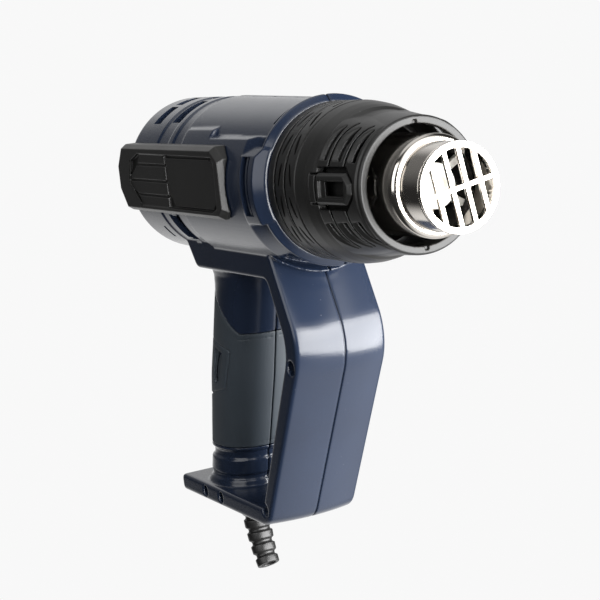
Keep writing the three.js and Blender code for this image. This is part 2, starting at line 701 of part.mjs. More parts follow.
// Grip: a loft of rounded sections, thinner by a wall where one is given
function gripLoft(wall = 0, drops = GRIP_SECTIONS.map(([drop]) => drop)) {
  const sections = drops.map(gripSection);
  const power = 2 / GRIP_SQUARENESS;
  const outlines = sections.map(([, depth, width]) =>
    range(GRIP_POINTS).map((k) => {
      const angle = (k / GRIP_POINTS) * 2 * Math.PI;
      const [c, s] = [Math.cos(angle), Math.sin(angle)];
      const along = Math.sign(c) * Math.abs(c) ** power * (depth - wall);
      return new THREE.Vector2(along, Math.sign(s) * Math.abs(s) ** power * (width - wall));
    }),
  );
  return loft(outlines, (point, i) => {
    const z = SOFFIT_Z + sections[i][0];
    return new THREE.Vector3(gripCentre(z) + point.x, point.y, z);
  });
}

// Side view of the zone that the rubber covers take, drawn in by a gap
function coverZone(gap) {
  const knee = GRIP_CENTRE_X + COVER_KNEE_X;
  const front = SOFFIT_Z + COVER_FRONT_TOP - gap;
  const rear = knee - REACH;
  return sidePrism(
    [
      [knee + REACH, front],
      [knee, front],
      [rear, front + REACH],
      [rear, SOFFIT_Z + COVER_BOTTOM + gap],
      [knee + REACH, SOFFIT_Z + COVER_BOTTOM + gap],
    ],
    -HALF_WIDTH,
    HALF_WIDTH,
  );
}

// The covers' place, cut from a little outside the grip's surface inwards
const coverSpace = () => common(gripLoft(-1), coverZone(0)).subtract(gripLoft(COVER_THICKNESS));

function gripCavity() {
  const cavity = gripLoft(COVER_THICKNESS + GRIP_WALL, GRIP_CAVITY);
  const low = SOFFIT_Z + GRIP_CAVITY[0] - WIRE_CHANNEL_RADIUS;
  const height = -low - BORE_RADIUS + BARREL_WALL * 2;
  const channel = new THREE.CylinderGeometry(WIRE_CHANNEL_RADIUS, WIRE_CHANNEL_RADIUS, height, SMALL_ROUND);
  channel.applyMatrix4(TURNED_ABOUT_Z).translate(gripCentre(low), 0, low + height / 2);
  return join(cavity, solidOf(channel));
}

// Switch group: its X points into the grip, square to the rear surface, and its Z up along the grip
const switchGroup = new THREE.Group();
const switchZ = SOFFIT_Z - SWITCH_DROP;
const [, gripDepthAtSwitch] = gripSection(-SWITCH_DROP);
switchGroup.position.set(gripCentre(switchZ) - gripDepthAtSwitch, 0, switchZ);
switchGroup.rotation.y = Math.atan(GRIP_LEAN);
switchGroup.updateMatrix();

function inSwitch(x0, x1, width, height) {
  const block = new THREE.BoxGeometry(x1 - x0, width, height).translate((x0 + x1) / 2, 0, 0);
  return solidOf(block.applyMatrix4(switchGroup.matrix));
}

function switchOpening() {
  const [, bezelWidth, bezelHeight] = SWITCH_BEZEL;
  const [bodyDepth, bodyWidth, bodyHeight] = SWITCH_BODY;
  return [
    inSwitch(-SWITCH_SEAT * 3, SWITCH_SEAT, bezelWidth + 2 * FIT, bezelHeight + 2 * FIT),
    inSwitch(0, SWITCH_SEAT + bodyDepth, bodyWidth + 2 * FIT, bodyHeight + 2 * FIT),
  ];
}

// Cord gland: a boss under the base, split with the halves
function glandBoss() {
  const [wide, narrow] = [GLAND_BOSS_TOP_RADIUS, GLAND_BOSS_BOTTOM_RADIUS];
  const boss = new THREE.CylinderGeometry(wide, narrow, GLAND_BOSS_LENGTH, SMALL_ROUND);
  const root = new THREE.CylinderGeometry(narrow, narrow, BASE_THICKNESS, SMALL_ROUND);
  boss.applyMatrix4(TURNED_ABOUT_Z).translate(CORD_X, 0, BASE_BOTTOM_Z - GLAND_BOSS_LENGTH / 2 + FIT / 2);
  root.applyMatrix4(TURNED_ABOUT_Z).translate(CORD_X, 0, BASE_BOTTOM_Z);
  return join(solidOf(boss), solidOf(root));
}

function glandHole() {
  const bottom = BASE_BOTTOM_Z - GLAND_BOSS_LENGTH - 1;
  const top = GRIP_FLOOR_Z + 1;
  const radius = GLAND_RADIUS + FIT;
  const hole = new THREE.CylinderGeometry(radius, radius, top - bottom, SMALL_ROUND);
  return solidOf(hole.applyMatrix4(TURNED_ABOUT_Z).translate(CORD_X, 0, (top + bottom) / 2));
}

function screwCuts({ x, z, well }) {
  const seat = -HALF_WIDTH + SCREW_DEPTH;
  const hole = SCREW_SHANK_RADIUS + FIT;
  return [
    crossBar(x, z, -REACH, seat, well),
    crossBar(x, z, -HALF_WIDTH, seat + SCREW_LENGTH + 1, hole, PIN_ROUND),
  ];
}

function housing() {
  const whole = join(barrelOuter(), barrelSides(), handleSlab(), gripLoft(), glandBoss());
  return cut(
    whole,
    barrelCuts(),
    coverSpace(),
    gripCavity(),
    switchOpening(),
    glandHole(),
    SCREWS.flatMap(screwCuts),
  );
}

const rightHalf = () => box(-REACH, REACH, -REACH, -PARTING_GAP / 2, -REACH, REACH);
const leftHalf = () => box(-REACH, REACH, PARTING_GAP / 2, REACH, -REACH, REACH);

function gripCovers() {
  const shell = common(gripLoft(), coverZone(FIT)).subtract(gripLoft(COVER_THICKNESS - FIT));
  return cut(shell, switchOpening());
}

// Side pads: bevelled blocks on the barrel's sides, with a sunk field and bars
function sidePad() {
  const [rear, front] = [0, 1].map((k) => (k ? Math.max : Math.min)(...PAD_OUTLINE.map(([x]) => x)));
  const [bottom, top] = [0, 1].map((k) => (k ? Math.max : Math.min)(...PAD_OUTLINE.map(([, z]) => z)));
  const outline = PAD_OUTLINE.map(([x, z]) => new THREE.Vector2(x, z));
  const face = PAD_OUTLINE.map(([x, z]) => new THREE.Vector2(
    THREE.MathUtils.mapLinear(x, rear, front, rear + PAD_END_BEVEL, front - PAD_END_BEVEL),
    THREE.MathUtils.mapLinear(z, bottom, top, bottom + PAD_SIDE_BEVEL, top - PAD_SIDE_BEVEL),
  ));
  const depths = [0, PAD_OUTER_Y - PAD_BEVEL_DEPTH, PAD_OUTER_Y];
  const block = loft([outline, outline, face], (p, i) => new THREE.Vector3(p.x, -depths[i], p.y));
  const floorY = PAD_OUTER_Y - PAD_FIELD_DEPTH;
  const field = sidePrism(PAD_FIELD, -PAD_OUTER_Y - 1, -floorY);
  const bars = sidePrism(PAD_BARS, -PAD_OUTER_Y + PAD_BAR_DROP, -floorY + 1);
  const half = PAD_BAR_GAP_WIDTH / 2;
  const gaps = PAD_BAR_GAPS.map((z) =>
    common(box(rear, front, -PAD_OUTER_Y - 1, -floorY, z - half, z + half), field),
  );
  const seat = disc(-REACH, REACH, SIDE_RADIUS + FIT);
  return cut(join(cut(block, field), bars), gaps, seat);
}

// Front collar, plugged into the barrel, with a tread engraved round it
function frontCollar() {
  const grooves = COLLAR_GROOVES.flatMap((offset) => {
    const middle = COLLAR_REAR + offset;
    const half = COLLAR_GROOVE_WIDTH / 2;
    return [
      [middle - half, COLLAR_RADIUS],
      [middle, COLLAR_RADIUS - COLLAR_GROOVE_DEPTH],
      [middle + half, COLLAR_RADIUS],
    ];
  });
  const plugRear = FLANGE_FRONT - FRONT_BORE_DEPTH + FIT;
  const body = turned([
    [plugRear, COLLAR_BORE],
    [plugRear, FRONT_BORE_RADIUS - FIT],
    [COLLAR_REAR, FRONT_BORE_RADIUS - FIT],
    [COLLAR_REAR, COLLAR_RADIUS],
    ...grooves,
    [COLLAR_FRONT, COLLAR_RADIUS],
    [COLLAR_FRONT, SPIGOT_RADIUS],
    [COLLAR_FRONT + SPIGOT_LENGTH, SPIGOT_RADIUS],
    [COLLAR_FRONT + SPIGOT_LENGTH, SPIGOT_BORE],
    [NOZZLE_FLANGE_REAR + NOZZLE_FLANGE_THICKNESS + FIT, SPIGOT_BORE],
    [NOZZLE_FLANGE_REAR + NOZZLE_FLANGE_THICKNESS + FIT, COLLAR_BORE],
  ]);
  const tread = TREAD_ROWS.flatMap((offset, row) =>
    range(TREAD_COUNT).map((k) => {
      const dash = new THREE.BoxGeometry(TREAD_WIDTH, TREAD_LENGTH, TREAD_DEPTH * 2);
      dash.rotateZ(TREAD_TILT * DEG * ((k + row) % 2 ? 1 : -1));
      dash.translate(COLLAR_REAR + offset, 0, COLLAR_RADIUS);
      return solidOf(dash.rotateX(((k + row / 2) / TREAD_COUNT) * 2 * Math.PI));
    }),
  );
  return cut(body, tread);
}

// Nose guard: a slotted cone that slips over the collar's spigot, with a tapered louvre panel on each side
function louvreShell(proud, sunk) {
  const ends = [NOSE_REAR, NOSE_FRONT];
  const outer = ends.map((x) => [x, louvreRadius(x) + proud]);
  const inner = ends.map((x) => [x, louvreRadius(x) - sunk]);
  return turned([...outer, ...inner.reverse()]);
}

function clipPlan(endGap, sideGap) {
  const half = CLIP_WIDTH / 2 + sideGap;
  const [low, high] = [CLIP_CENTRE_Z - half, CLIP_CENTRE_Z + half];
  const [rear, front] = [CLIP_REAR - endGap, CLIP_FRONT + endGap];
  const corner = CLIP_CORNER + sideGap / 2;
  return [
    [rear, low],
    [front - corner, low],
    [front, low + corner],
    [front, high - corner],
    [front - corner, high],
    [rear, high],
  ];
}

function clipTab(gap) {
  const half = CLIP_TAB_WIDTH / 2 + gap;
  const rear = CLIP_REAR - CLIP_TAB_LENGTH - gap;
  return box(rear, CLIP_REAR + 1, -REACH, 0, CLIP_CENTRE_Z - half, CLIP_CENTRE_Z + half);
}

function noseGuard() {
  const spigotEnd = COLLAR_FRONT + SPIGOT_LENGTH + 1;
  const shoulderEnd = NOSE_REAR + NOSE_SHOULDER.at(-1)[0];
  const rimRear = NOSE_FRONT - NOSE_RIM_LENGTH;
  const cone = turned([
    [NOSE_REAR, SPIGOT_RADIUS + FIT],
    ...NOSE_PROFILE,
    [NOSE_FRONT, NOSE_FRONT_RADIUS - NOSE_RIM_ROUND],
    [NOSE_FRONT, NOSE_BORE],
    [rimRear, NOSE_BORE],
    [rimRear, noseRadius(rimRear) - NOSE_WALL],
    [shoulderEnd, noseRadius(shoulderEnd) - NOSE_WALL],
    [spigotEnd, NOSE_THROAT],
    [spigotEnd, SPIGOT_RADIUS + FIT],
  ]);
  const sides = sectors(LOUVRE_REAR.x, LOUVRE_FRONT.x, NOSE_BORE + 1, SIDE_RADIUS, ...LOUVRE_ANGLES);
  const panels = sides.map((side) => common(side, louvreShell(0, 2 * NOSE_LINE_DEPTH)));
  const half = NOSE_SLOT_WIDTH / 2;
  const slots = NOSE_SLOTS.flatMap((x) =>
    NOSE_SLOT_HEIGHTS.map(([low, high]) => box(x - half, x + half, -SIDE_RADIUS, SIDE_RADIUS, low, high)),
  );
  const lines = NOSE_LINES.flatMap((x) => {
    const floor = louvreRadius(x) - NOSE_LINE_DEPTH;
    const [rear, front] = [x - NOSE_LINE_WIDTH / 2, x + NOSE_LINE_WIDTH / 2];
    return sectors(rear, front, floor, SIDE_RADIUS, ...NOSE_LINE_ANGLES);
  });
  const pocket = sidePrism(clipPlan(CLIP_END_GAP, CLIP_SIDE_GAP), -REACH, 0);
  return cut(join(cone, panels), slots, lines, pocket, clipTab(CLIP_END_GAP));
}

function releaseClip() {
  const frame = common(sidePrism(clipPlan(0, 0), -REACH, 0), louvreShell(CLIP_PROUD, CLIP_SUNK));
  const tab = common(clipTab(0), louvreShell(CLIP_TAB_PROUD, CLIP_SUNK));
  const window = box(
    CLIP_WINDOW_REAR,
    CLIP_WINDOW_REAR + CLIP_WINDOW_LENGTH,
    -REACH,
    0,
    CLIP_CENTRE_Z - CLIP_WINDOW_WIDTH / 2,
    CLIP_CENTRE_Z + CLIP_WINDOW_WIDTH / 2,
  );
  const sunk = common(window, louvreShell(CLIP_PROUD + 1, CLIP_WINDOW_DEPTH - CLIP_PROUD));
  return cut(join(frame, tab), sunk);
}

// Nozzle: a stepped tube with a flange trapped behind the collar
function nozzleTube() {
  const front = NOZZLE_FRONT - GRILLE_THICKNESS - FIT;
  const flangeFront = NOZZLE_FLANGE_REAR + NOZZLE_FLANGE_THICKNESS;
  const drop = NOZZLE_BODY_RADIUS - NOZZLE_RADIUS;
  const shoulder = range(CORNER_STEPS + 1).map((k) => {
    const angle = ((k / CORNER_STEPS) * Math.PI) / 2;
    const x = NOZZLE_SHOULDER - NOZZLE_SHOULDER_ROUND * (1 - Math.sin(angle));
    return [x, NOZZLE_BODY_RADIUS - drop * (1 - Math.cos(angle))];
  });
  return turned([
    [NOZZLE_FLANGE_REAR, NOZZLE_BODY_RADIUS - NOZZLE_WALL],
    [NOZZLE_FLANGE_REAR, NOZZLE_FLANGE_RADIUS],
    [flangeFront, NOZZLE_FLANGE_RADIUS],
    [flangeFront, NOZZLE_BODY_RADIUS],
    ...shoulder,
    [front, NOZZLE_RADIUS],
    [front, NOZZLE_RADIUS - NOZZLE_WALL],
    [NOZZLE_SHOULDER - NOZZLE_WALL, NOZZLE_RADIUS - NOZZLE_WALL],
    [NOZZLE_SHOULDER - NOZZLE_SHOULDER_ROUND - NOZZLE_WALL, NOZZLE_BODY_RADIUS - NOZZLE_WALL],
  ]);
}

function nozzleGrille() {
  const spigotRadius = NOZZLE_RADIUS - NOZZLE_WALL - FIT;
  const faceRear = NOZZLE_FRONT - GRILLE_THICKNESS;
  const open = NOZZLE_RADIUS - GRILLE_RIM;
  const spigotEnds = [faceRear - GRILLE_SPIGOT, faceRear + GRILLE_THICKNESS / 2];
  const body = join(
    disc(faceRear, NOZZLE_FRONT, NOZZLE_RADIUS),
    ring(...spigotEnds, spigotRadius - NOZZLE_WALL, spigotRadius, ROUND / 2),
  );
  const pitch = (2 * open + GRILLE_BAR) / GRILLE_COLUMNS;
  const window = disc(faceRear - 1, NOZZLE_FRONT + 1, open);
  const columns = range(GRILLE_COLUMNS).flatMap((k) => {
    const left = -open + k * pitch;
    const right = left + pitch - GRILLE_BAR;
    return [1, -1].map((side) => {
      const [near, far] = [(side * GRILLE_BAR) / 2, side * open];
      return box(faceRear - 1, NOZZLE_FRONT + 1, left, right, Math.min(near, far), Math.max(near, far));
    });
  });
  return cut(body, columns.map((column) => common(column, window)));
}

// Heater: a ceramic core on two spiders, its wound wire and the insulating sleeve round them
const MICA_RADIUS = NOZZLE_BODY_RADIUS - NOZZLE_WALL - FIT;
const MICA_BORE = MICA_RADIUS - MICA_WALL;
const SPIDER_FRONT = MICA_FRONT - 2 * CORE_SPIDER;
const SPIDER_REAR = CORE_REAR + FIT;

function heaterCore() {
  const hub = cut(
    disc(CORE_REAR, CORE_FRONT, CORE_RADIUS, ROUND / 2),
    disc(CORE_FRONT - CORE_BORE_DEPTH, CORE_FRONT + 1, CORE_BORE, SMALL_ROUND),
  );
  const reach = disc(-REACH, REACH, MICA_BORE - FIT);
  const arms = [SPIDER_REAR, SPIDER_FRONT].flatMap((x) =>
    range(CORE_ARMS).map((k) => {
      const arm = new THREE.BoxGeometry(CORE_SPIDER, CORE_ARM_WIDTH, 2 * MICA_RADIUS);
      return solidOf(arm.translate(x + CORE_SPIDER / 2, 0, 0).rotateX((k / CORE_ARMS) * Math.PI));
    }),
  );
  return join(hub, common(join(arms), reach));
}

class Helix extends THREE.Curve {
  constructor(start, end, radius, turns) {
    super();
    Object.assign(this, { start, end, radius, turns });
  }

  getPoint(t, target = new THREE.Vector3()) {
    const angle = t * this.turns * 2 * Math.PI;
    const x = this.start + (this.end - this.start) * t;
    return target.set(x, this.radius * Math.cos(angle), this.radius * Math.sin(angle));
  }
}

function heaterCoil() {
  const start = SPIDER_REAR + CORE_SPIDER + 2 * COIL_WIRE;
  const end = SPIDER_FRONT - 2 * COIL_WIRE;
  const radius = CORE_RADIUS + COIL_CLEARANCE + COIL_WIRE;
  const path = new Helix(start, end, radius, COIL_TURNS);
  const section = new THREE.Shape(
    range(5).map((k) => new THREE.Vector2().setX(COIL_WIRE).rotateAround(new THREE.Vector2(), k * 72 * DEG)),
  );
  const steps = COIL_TURNS * COIL_STEPS;
  const points = path.getPoints(steps);
  const gaps = points.flatMap((p, i) => points.slice(i + COIL_STEPS / 2).map((q) => p.distanceTo(q)));
  console.log("heater coil, least gap to itself:", (Math.min(...gaps) - 2 * COIL_WIRE).toFixed(2), "mm");
  return solidOf(new THREE.ExtrudeGeometry(section, { steps, extrudePath: path, bevelEnabled: false }));
}

// Blower
const MOUNT_REAR = MOTOR_FRONT + FIT;
const MOUNT_FRONT = MOUNT_REAR + MOUNT_THICKNESS;
const FAN_REAR = MOUNT_FRONT + FAN_GAP;
const DUCT_REAR = FAN_REAR + FAN_LENGTH + DUCT_GAP;

function motor() {
  const body = turned([
    [MOTOR_REAR, 0],
    [MOTOR_REAR, MOTOR_RADIUS - MOTOR_ROUND],
    [MOTOR_REAR + MOTOR_ROUND, MOTOR_RADIUS],
    [MOTOR_FRONT - MOTOR_ROUND, MOTOR_RADIUS],
    [MOTOR_FRONT, MOTOR_RADIUS - MOTOR_ROUND],
    [MOTOR_FRONT, MOTOR_BOSS_RADIUS],
    [MOUNT_FRONT, MOTOR_BOSS_RADIUS],
    [MOUNT_FRONT, 0],
  ], ROUND / 2);
  const boreRear = FAN_REAR + FAN_LENGTH - SHAFT_LENGTH - FIT;
  return cut(body, disc(boreRear, MOUNT_FRONT + 1, SHAFT_RADIUS + FIT, SMALL_ROUND));
}

function motorMount() {
  const outer = BORE_RADIUS - FIT;
  const rim = ring(MOUNT_REAR, MOUNT_FRONT, outer - MOUNT_RIM, outer, ROUND / 2);
  const hub = disc(MOUNT_REAR, MOUNT_FRONT, MOUNT_HUB, ROUND / 2);
  const arms = range(MOUNT_ARMS / 2).map((k) => {
    const arm = new THREE.BoxGeometry(MOUNT_THICKNESS, MOUNT_ARM_WIDTH, 2 * (outer - MOUNT_RIM / 2));
    arm.translate((MOUNT_REAR + MOUNT_FRONT) / 2, 0, 0);
    return solidOf(arm.rotateX(((k + 0.5) / MOUNT_ARMS) * 2 * Math.PI));
  });
  const hole = disc(MOUNT_REAR - 1, MOUNT_FRONT + 1, MOTOR_BOSS_RADIUS + FIT, ROUND / 2);
  return cut(join(rim, hub, arms), hole);
}

function fan() {
  const front = FAN_REAR + FAN_LENGTH;
  const hub = disc(FAN_REAR, front, FAN_HUB_RADIUS, ROUND / 2);
  const chord = (FAN_LENGTH - 2) / Math.cos(FAN_PITCH * DEG);
  const half = FAN_BLADE_THICKNESS / 2;
  const section = new THREE.Shape();
  section.moveTo(-chord / 2, -half);
  section.quadraticCurveTo(0, -half + FAN_BLADE_CAMBER, chord / 2, -half);
  section.lineTo(chord / 2, half);
  section.quadraticCurveTo(0, half + FAN_BLADE_CAMBER, -chord / 2, half);
  const blades = range(FAN_BLADES).map((k) => {
    const depth = BORE_RADIUS - FAN_TIP_GAP - FAN_HUB_RADIUS / 2;
    const blade = new THREE.ExtrudeGeometry(section, { depth, bevelEnabled: false, curveSegments: 2 });
    blade.rotateZ(FAN_PITCH * DEG).translate(FAN_REAR + FAN_LENGTH / 2, 0, FAN_HUB_RADIUS / 2);
    return solidOf(blade.rotateX((k / FAN_BLADES) * 2 * Math.PI));
  });
  return cut(join(hub, blades), disc(FAN_REAR - 1, front + 1, SHAFT_RADIUS + FIT, SMALL_ROUND));
}

function airDuct() {
  const rimFront = DUCT_REAR + DUCT_RIM_LENGTH;
  const coneFront = Math.min(rimFront + DUCT_CONE_LENGTH, MICA_REAR - FIT);
  const outer = BORE_RADIUS - FIT;
  const spigot = MICA_BORE - FIT;
  return turned([
    [DUCT_REAR, outer - DUCT_WALL],
    [DUCT_REAR, outer],
    [rimFront, outer],
    [coneFront, spigot + DUCT_WALL],
    [coneFront, spigot],
    [MICA_REAR + DUCT_SPIGOT_LENGTH, spigot],
    [MICA_REAR + DUCT_SPIGOT_LENGTH, spigot - DUCT_WALL],
    [coneFront, spigot - DUCT_WALL],
    [rimFront, outer - DUCT_WALL],
  ], ROUND / 2);
}

function rearCap() {
  const flangeRear = REAR_LIP_DEPTH + FIT;
  const body = turned([
    [0, 0],
    [0, REAR_OPENING - FIT],
    [flangeRear, REAR_OPENING - FIT],
    [flangeRear, BORE_RADIUS - FIT],
    [flangeRear + CAP_FLANGE_THICKNESS, BORE_RADIUS - FIT],
    [flangeRear + CAP_FLANGE_THICKNESS, 0],
  ]);
  const slots = range(CAP_SLOT_RINGS).flatMap((ringNumber) => {
    const inner = CAP_CENTRE_RADIUS + ringNumber * CAP_SLOT_PITCH;
    return range(CAP_SPOKES).map((k) => {
      const middle = (k / CAP_SPOKES) * 360;
      const [from, to] = [middle - CAP_SLOT_ARC / 2, middle + CAP_SLOT_ARC / 2];
      return sector(-1, flangeRear + CAP_FLANGE_THICKNESS + 1, inner, inner + CAP_SLOT_WIDTH, from, to);
    });
  });
  return cut(body, slots);
}

// Switch pieces, drawn in the switch group's own axes
const localBox = (x0, x1, width, height) => box(x0, x1, -width / 2, width / 2, -height / 2, height / 2);

function switchBody() {
  const [bezelDepth, bezelWidth, bezelHeight] = SWITCH_BEZEL;
  const [bodyDepth, bodyWidth, bodyHeight] = SWITCH_BODY;
  const [, rockerWidth, rockerHeight] = ROCKER_SIZE;
  const seat = SWITCH_SEAT - FIT;
  const window = localBox(
    -SWITCH_SEAT,
    SWITCH_SEAT + ROCKER_WINDOW_DEPTH,
    rockerWidth + 2 * FIT,
    rockerHeight + 2 * ROCKER_GAP,
  );
  return cut(
    join(
      localBox(seat - bezelDepth, seat, bezelWidth, bezelHeight),
      localBox(seat - bezelDepth / 2, seat + bodyDepth - FIT, bodyWidth, bodyHeight),
    ),
    window,
  );
}

function switchRocker() {
  const [depth, width, height] = ROCKER_SIZE;
  const top = SWITCH_SEAT - SWITCH_BEZEL[0] - FIT;
  const profile = [
    [top, 0],
    [top - ROCKER_DISH, height / 2],
    [top + depth / 2, height / 2],
    [top + depth, height / 4],
    [top + depth, -height / 4],
    [top + depth / 2, -height / 2],
    [top - ROCKER_DISH, -height / 2],
  ];
  return sidePrism(profile, -width / 2, width / 2);
}

// Board across the grip, and the cord's entry at its foot
function controlBoard() {
  const [thickness, width, length] = BOARD_SIZE;
  const sheet = localBox(-thickness / 2, thickness / 2, width, length);
  const { radius, height, y, z } = CAPACITOR;
  const can = new THREE.CylinderGeometry(radius, radius, height, SMALL_ROUND).rotateZ(Math.PI / 2);
  const capacitor = solidOf(can.translate(height / 2, y, z));
  const relay = box(0, RELAY.height, RELAY.y0, RELAY.y1, RELAY.z0, RELAY.z1);
  return join(sheet, capacitor, relay);
}

function sleevePoint(distance) {
  const bendRadius = SLEEVE_LENGTH / (SLEEVE_BEND * DEG);
  const angle = distance / bendRadius;
  const top = BASE_BOTTOM_Z - GLAND_BOSS_LENGTH - FIT;
  const forward = bendRadius * (1 - Math.cos(angle));
  const down = bendRadius * Math.sin(angle);
  return {
    centre: new THREE.Vector3(CORD_X + forward, 0, top - down),
    across: new THREE.Vector3(Math.cos(angle), 0, Math.sin(angle)),
  };
}

// A tube of changing radius down the bent sleeve, from [distance, radius] pairs
function alongSleeve(stations, count) {
  const outlines = stations.map(([, radius]) =>
    range(count).map((k) => {
      const angle = (k / count) * 2 * Math.PI;
      return new THREE.Vector2(radius * Math.cos(angle), radius * Math.sin(angle));
    }),
  );
  return loft(outlines, (point, i) => {
    const distance = stations[i][0];
    const { centre, across } = sleevePoint(Math.min(Math.max(distance, 0), SLEEVE_LENGTH));
    const straight = distance < 0 ? -distance : 0;
    centre.addScaledVector(across, point.x);
    return centre.addScaledVector(Y, point.y).addScaledVector(Z, straight);
  });
}

function strainRelief() {
  const taper = (SLEEVE_TOP_RADIUS - SLEEVE_END_RADIUS) / SLEEVE_LENGTH;
  const radiusAt = (distance) => SLEEVE_TOP_RADIUS - taper * distance;
  const pitch = SLEEVE_LENGTH / SLEEVE_RIBS;
  const ribs = range(SLEEVE_RIBS).flatMap((k) => {
    const start = k * pitch;
    const [edge, groove, end] = [start + pitch * 0.55, start + pitch * 0.68, start + pitch * 0.9];
    const rib = [
      [start, radiusAt(start)],
      [edge, radiusAt(edge)],
    ];
    const valley = [
      [groove, radiusAt(groove) - SLEEVE_GROOVE],
      [end, radiusAt(end) - SLEEVE_GROOVE],
    ];
    return k < SLEEVE_RIBS - 1 ? [...rib, ...valley] : rib;
  });
  const floor = GRIP_FLOOR_Z + FIT;
  const sleeveTop = BASE_BOTTOM_Z - GLAND_BOSS_LENGTH - FIT;
  const stem = floor - sleeveTop;
  const neck = [
    [-stem - GLAND_FLANGE_THICKNESS, GLAND_FLANGE_RADIUS],
    [-stem, GLAND_FLANGE_RADIUS],
    [-stem, GLAND_RADIUS],
    [0, GLAND_RADIUS],
  ];
  const mouth = [
    [SLEEVE_LENGTH - SLEEVE_MOUTH_DEPTH, CORD_RADIUS],
    [SLEEVE_LENGTH, CORD_RADIUS],
  ];
  const outlet = alongSleeve(mouth, SLEEVE_POINTS);
  const { across } = sleevePoint(SLEEVE_LENGTH);
  const onward = outlet.translate([across.z, 0, -across.x]);
  return cut(alongSleeve([...neck, ...ribs], SLEEVE_POINTS), outlet, onward);
}

function cordClamp() {
  const [depth, width, height] = CLAMP_SIZE;
  const bottom = GRIP_FLOOR_Z + 2 * FIT + GLAND_FLANGE_THICKNESS;
  const [rear, front] = [CORD_X - depth / 2, CORD_X + depth / 2];
  const block = box(rear, front, -width / 2, width / 2, bottom, bottom + height);
  const hole = new THREE.CylinderGeometry(CORD_RADIUS, CORD_RADIUS, height + 2, SMALL_ROUND);
  hole.applyMatrix4(TURNED_ABOUT_Z).translate(CORD_X, 0, bottom + height / 2);
  return cut(block, solidOf(hole));
}

// A screw lying along Y with its head towards -Y, from the bottom of its well
function screw({ well }) {
  const head = crossBar(0, 0, -SCREW_HEAD_LENGTH, 0, well - FIT);
  const shank = crossBar(0, 0, -SCREW_HEAD_LENGTH / 2, SCREW_LENGTH, SCREW_SHANK_RADIUS, PIN_ROUND);
  return join(head, shank);
}

// The tool, piece by piece
const tool = new THREE.Group();
tool.name = "hot_air_tool";

const shell = housing();
piece(tool, "right_housing", common(shell, rightHalf()), MATERIALS.navy);
piece(tool, "left_housing", common(shell, leftHalf()), MATERIALS.navy);
piece(tool, "rear_cap", rearCap(), MATERIALS.navy);

const covers = gripCovers();
piece(tool, "right_grip_cover", common(covers, rightHalf()), MATERIALS.rubber);
piece(tool, "left_grip_cover", common(covers, leftHalf()), MATERIALS.rubber);

const pad = sidePad();
piece(tool, "right_side_pad", pad, MATERIALS.black);
piece(tool, "left_side_pad", mirrored(pad), MATERIALS.black);

piece(tool, "front_collar", frontCollar(), MATERIALS.black);
piece(tool, "nose_guard", noseGuard(), MATERIALS.black);
piece(tool, "release_clip", releaseClip(), MATERIALS.black);

piece(tool, "nozzle_tube", nozzleTube(), MATERIALS.chrome);
piece(tool, "nozzle_grille", nozzleGrille(), MATERIALS.chrome).rotation.x = GRILLE_TURN * DEG;
piece(tool, "heater_core", heaterCore(), MATERIALS.ceramic);
piece(tool, "heater_coil", heaterCoil(), MATERIALS.copper);
const sleeve = ring(MICA_REAR, MICA_FRONT, MICA_BORE, MICA_RADIUS, ROUND / 2);
piece(tool, "mica_sleeve", sleeve, MATERIALS.mica);

piece(tool, "motor", motor(), MATERIALS.steel);
piece(tool, "motor_mount", motorMount(), MATERIALS.black);
const shaftFront = FAN_REAR + FAN_LENGTH;
const shaft = disc(shaftFront - SHAFT_LENGTH, shaftFront, SHAFT_RADIUS, SMALL_ROUND);
piece(tool, "motor_shaft", shaft, MATERIALS.steel);
piece(tool, "fan", fan(), MATERIALS.black);
piece(tool, "air_duct", airDuct(), MATERIALS.black);

piece(switchGroup, "switch_body", switchBody(), MATERIALS.black);
piece(switchGroup, "switch_rocker", switchRocker(), MATERIALS.black);
tool.add(switchGroup);

const boardGroup = new THREE.Group();
boardGroup.position.set(gripCentre(SOFFIT_Z - BOARD_DROP), 0, SOFFIT_Z - BOARD_DROP);
boardGroup.rotation.y = Math.atan(GRIP_LEAN);
piece(boardGroup, "control_board", controlBoard(), MATERIALS.board);
tool.add(boardGroup);

piece(tool, "strain_relief", strainRelief(), MATERIALS.black);
piece(tool, "cord_clamp", cordClamp(), MATERIALS.black);

SCREWS.forEach((place) => {
  const mesh = piece(tool, place.name, screw(place), MATERIALS.steel);
  mesh.position.set(place.x, -HALF_WIDTH + SCREW_DEPTH - FIT, place.z);
});

export default tool;
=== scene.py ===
"""Hot air tool: moulded surfaces, finishes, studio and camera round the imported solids.

Sizes are in millimetres, in the tool's own frame, and become metres when a piece is placed.
"""

import logging
import math
from abc import ABC, abstractmethod
from collections.abc import Callable, Sequence
from dataclasses import dataclass, field
from enum import Enum
from typing import Any, NamedTuple

import bmesh
import bpy
from mathutils import Matrix, Vector


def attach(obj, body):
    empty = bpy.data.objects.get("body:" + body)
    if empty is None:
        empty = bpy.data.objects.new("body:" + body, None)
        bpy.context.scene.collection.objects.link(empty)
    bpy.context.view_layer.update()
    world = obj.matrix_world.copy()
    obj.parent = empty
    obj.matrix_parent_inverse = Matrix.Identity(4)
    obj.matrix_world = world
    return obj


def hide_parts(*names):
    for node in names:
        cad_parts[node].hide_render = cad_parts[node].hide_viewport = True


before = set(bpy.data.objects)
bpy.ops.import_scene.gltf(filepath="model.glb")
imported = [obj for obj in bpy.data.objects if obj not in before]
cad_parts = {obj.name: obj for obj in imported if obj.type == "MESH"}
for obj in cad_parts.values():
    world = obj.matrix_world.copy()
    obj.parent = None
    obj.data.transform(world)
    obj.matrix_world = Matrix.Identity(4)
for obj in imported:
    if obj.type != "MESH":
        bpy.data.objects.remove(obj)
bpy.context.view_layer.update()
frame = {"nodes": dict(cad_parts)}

log = logging.getLogger("hot_air_tool")

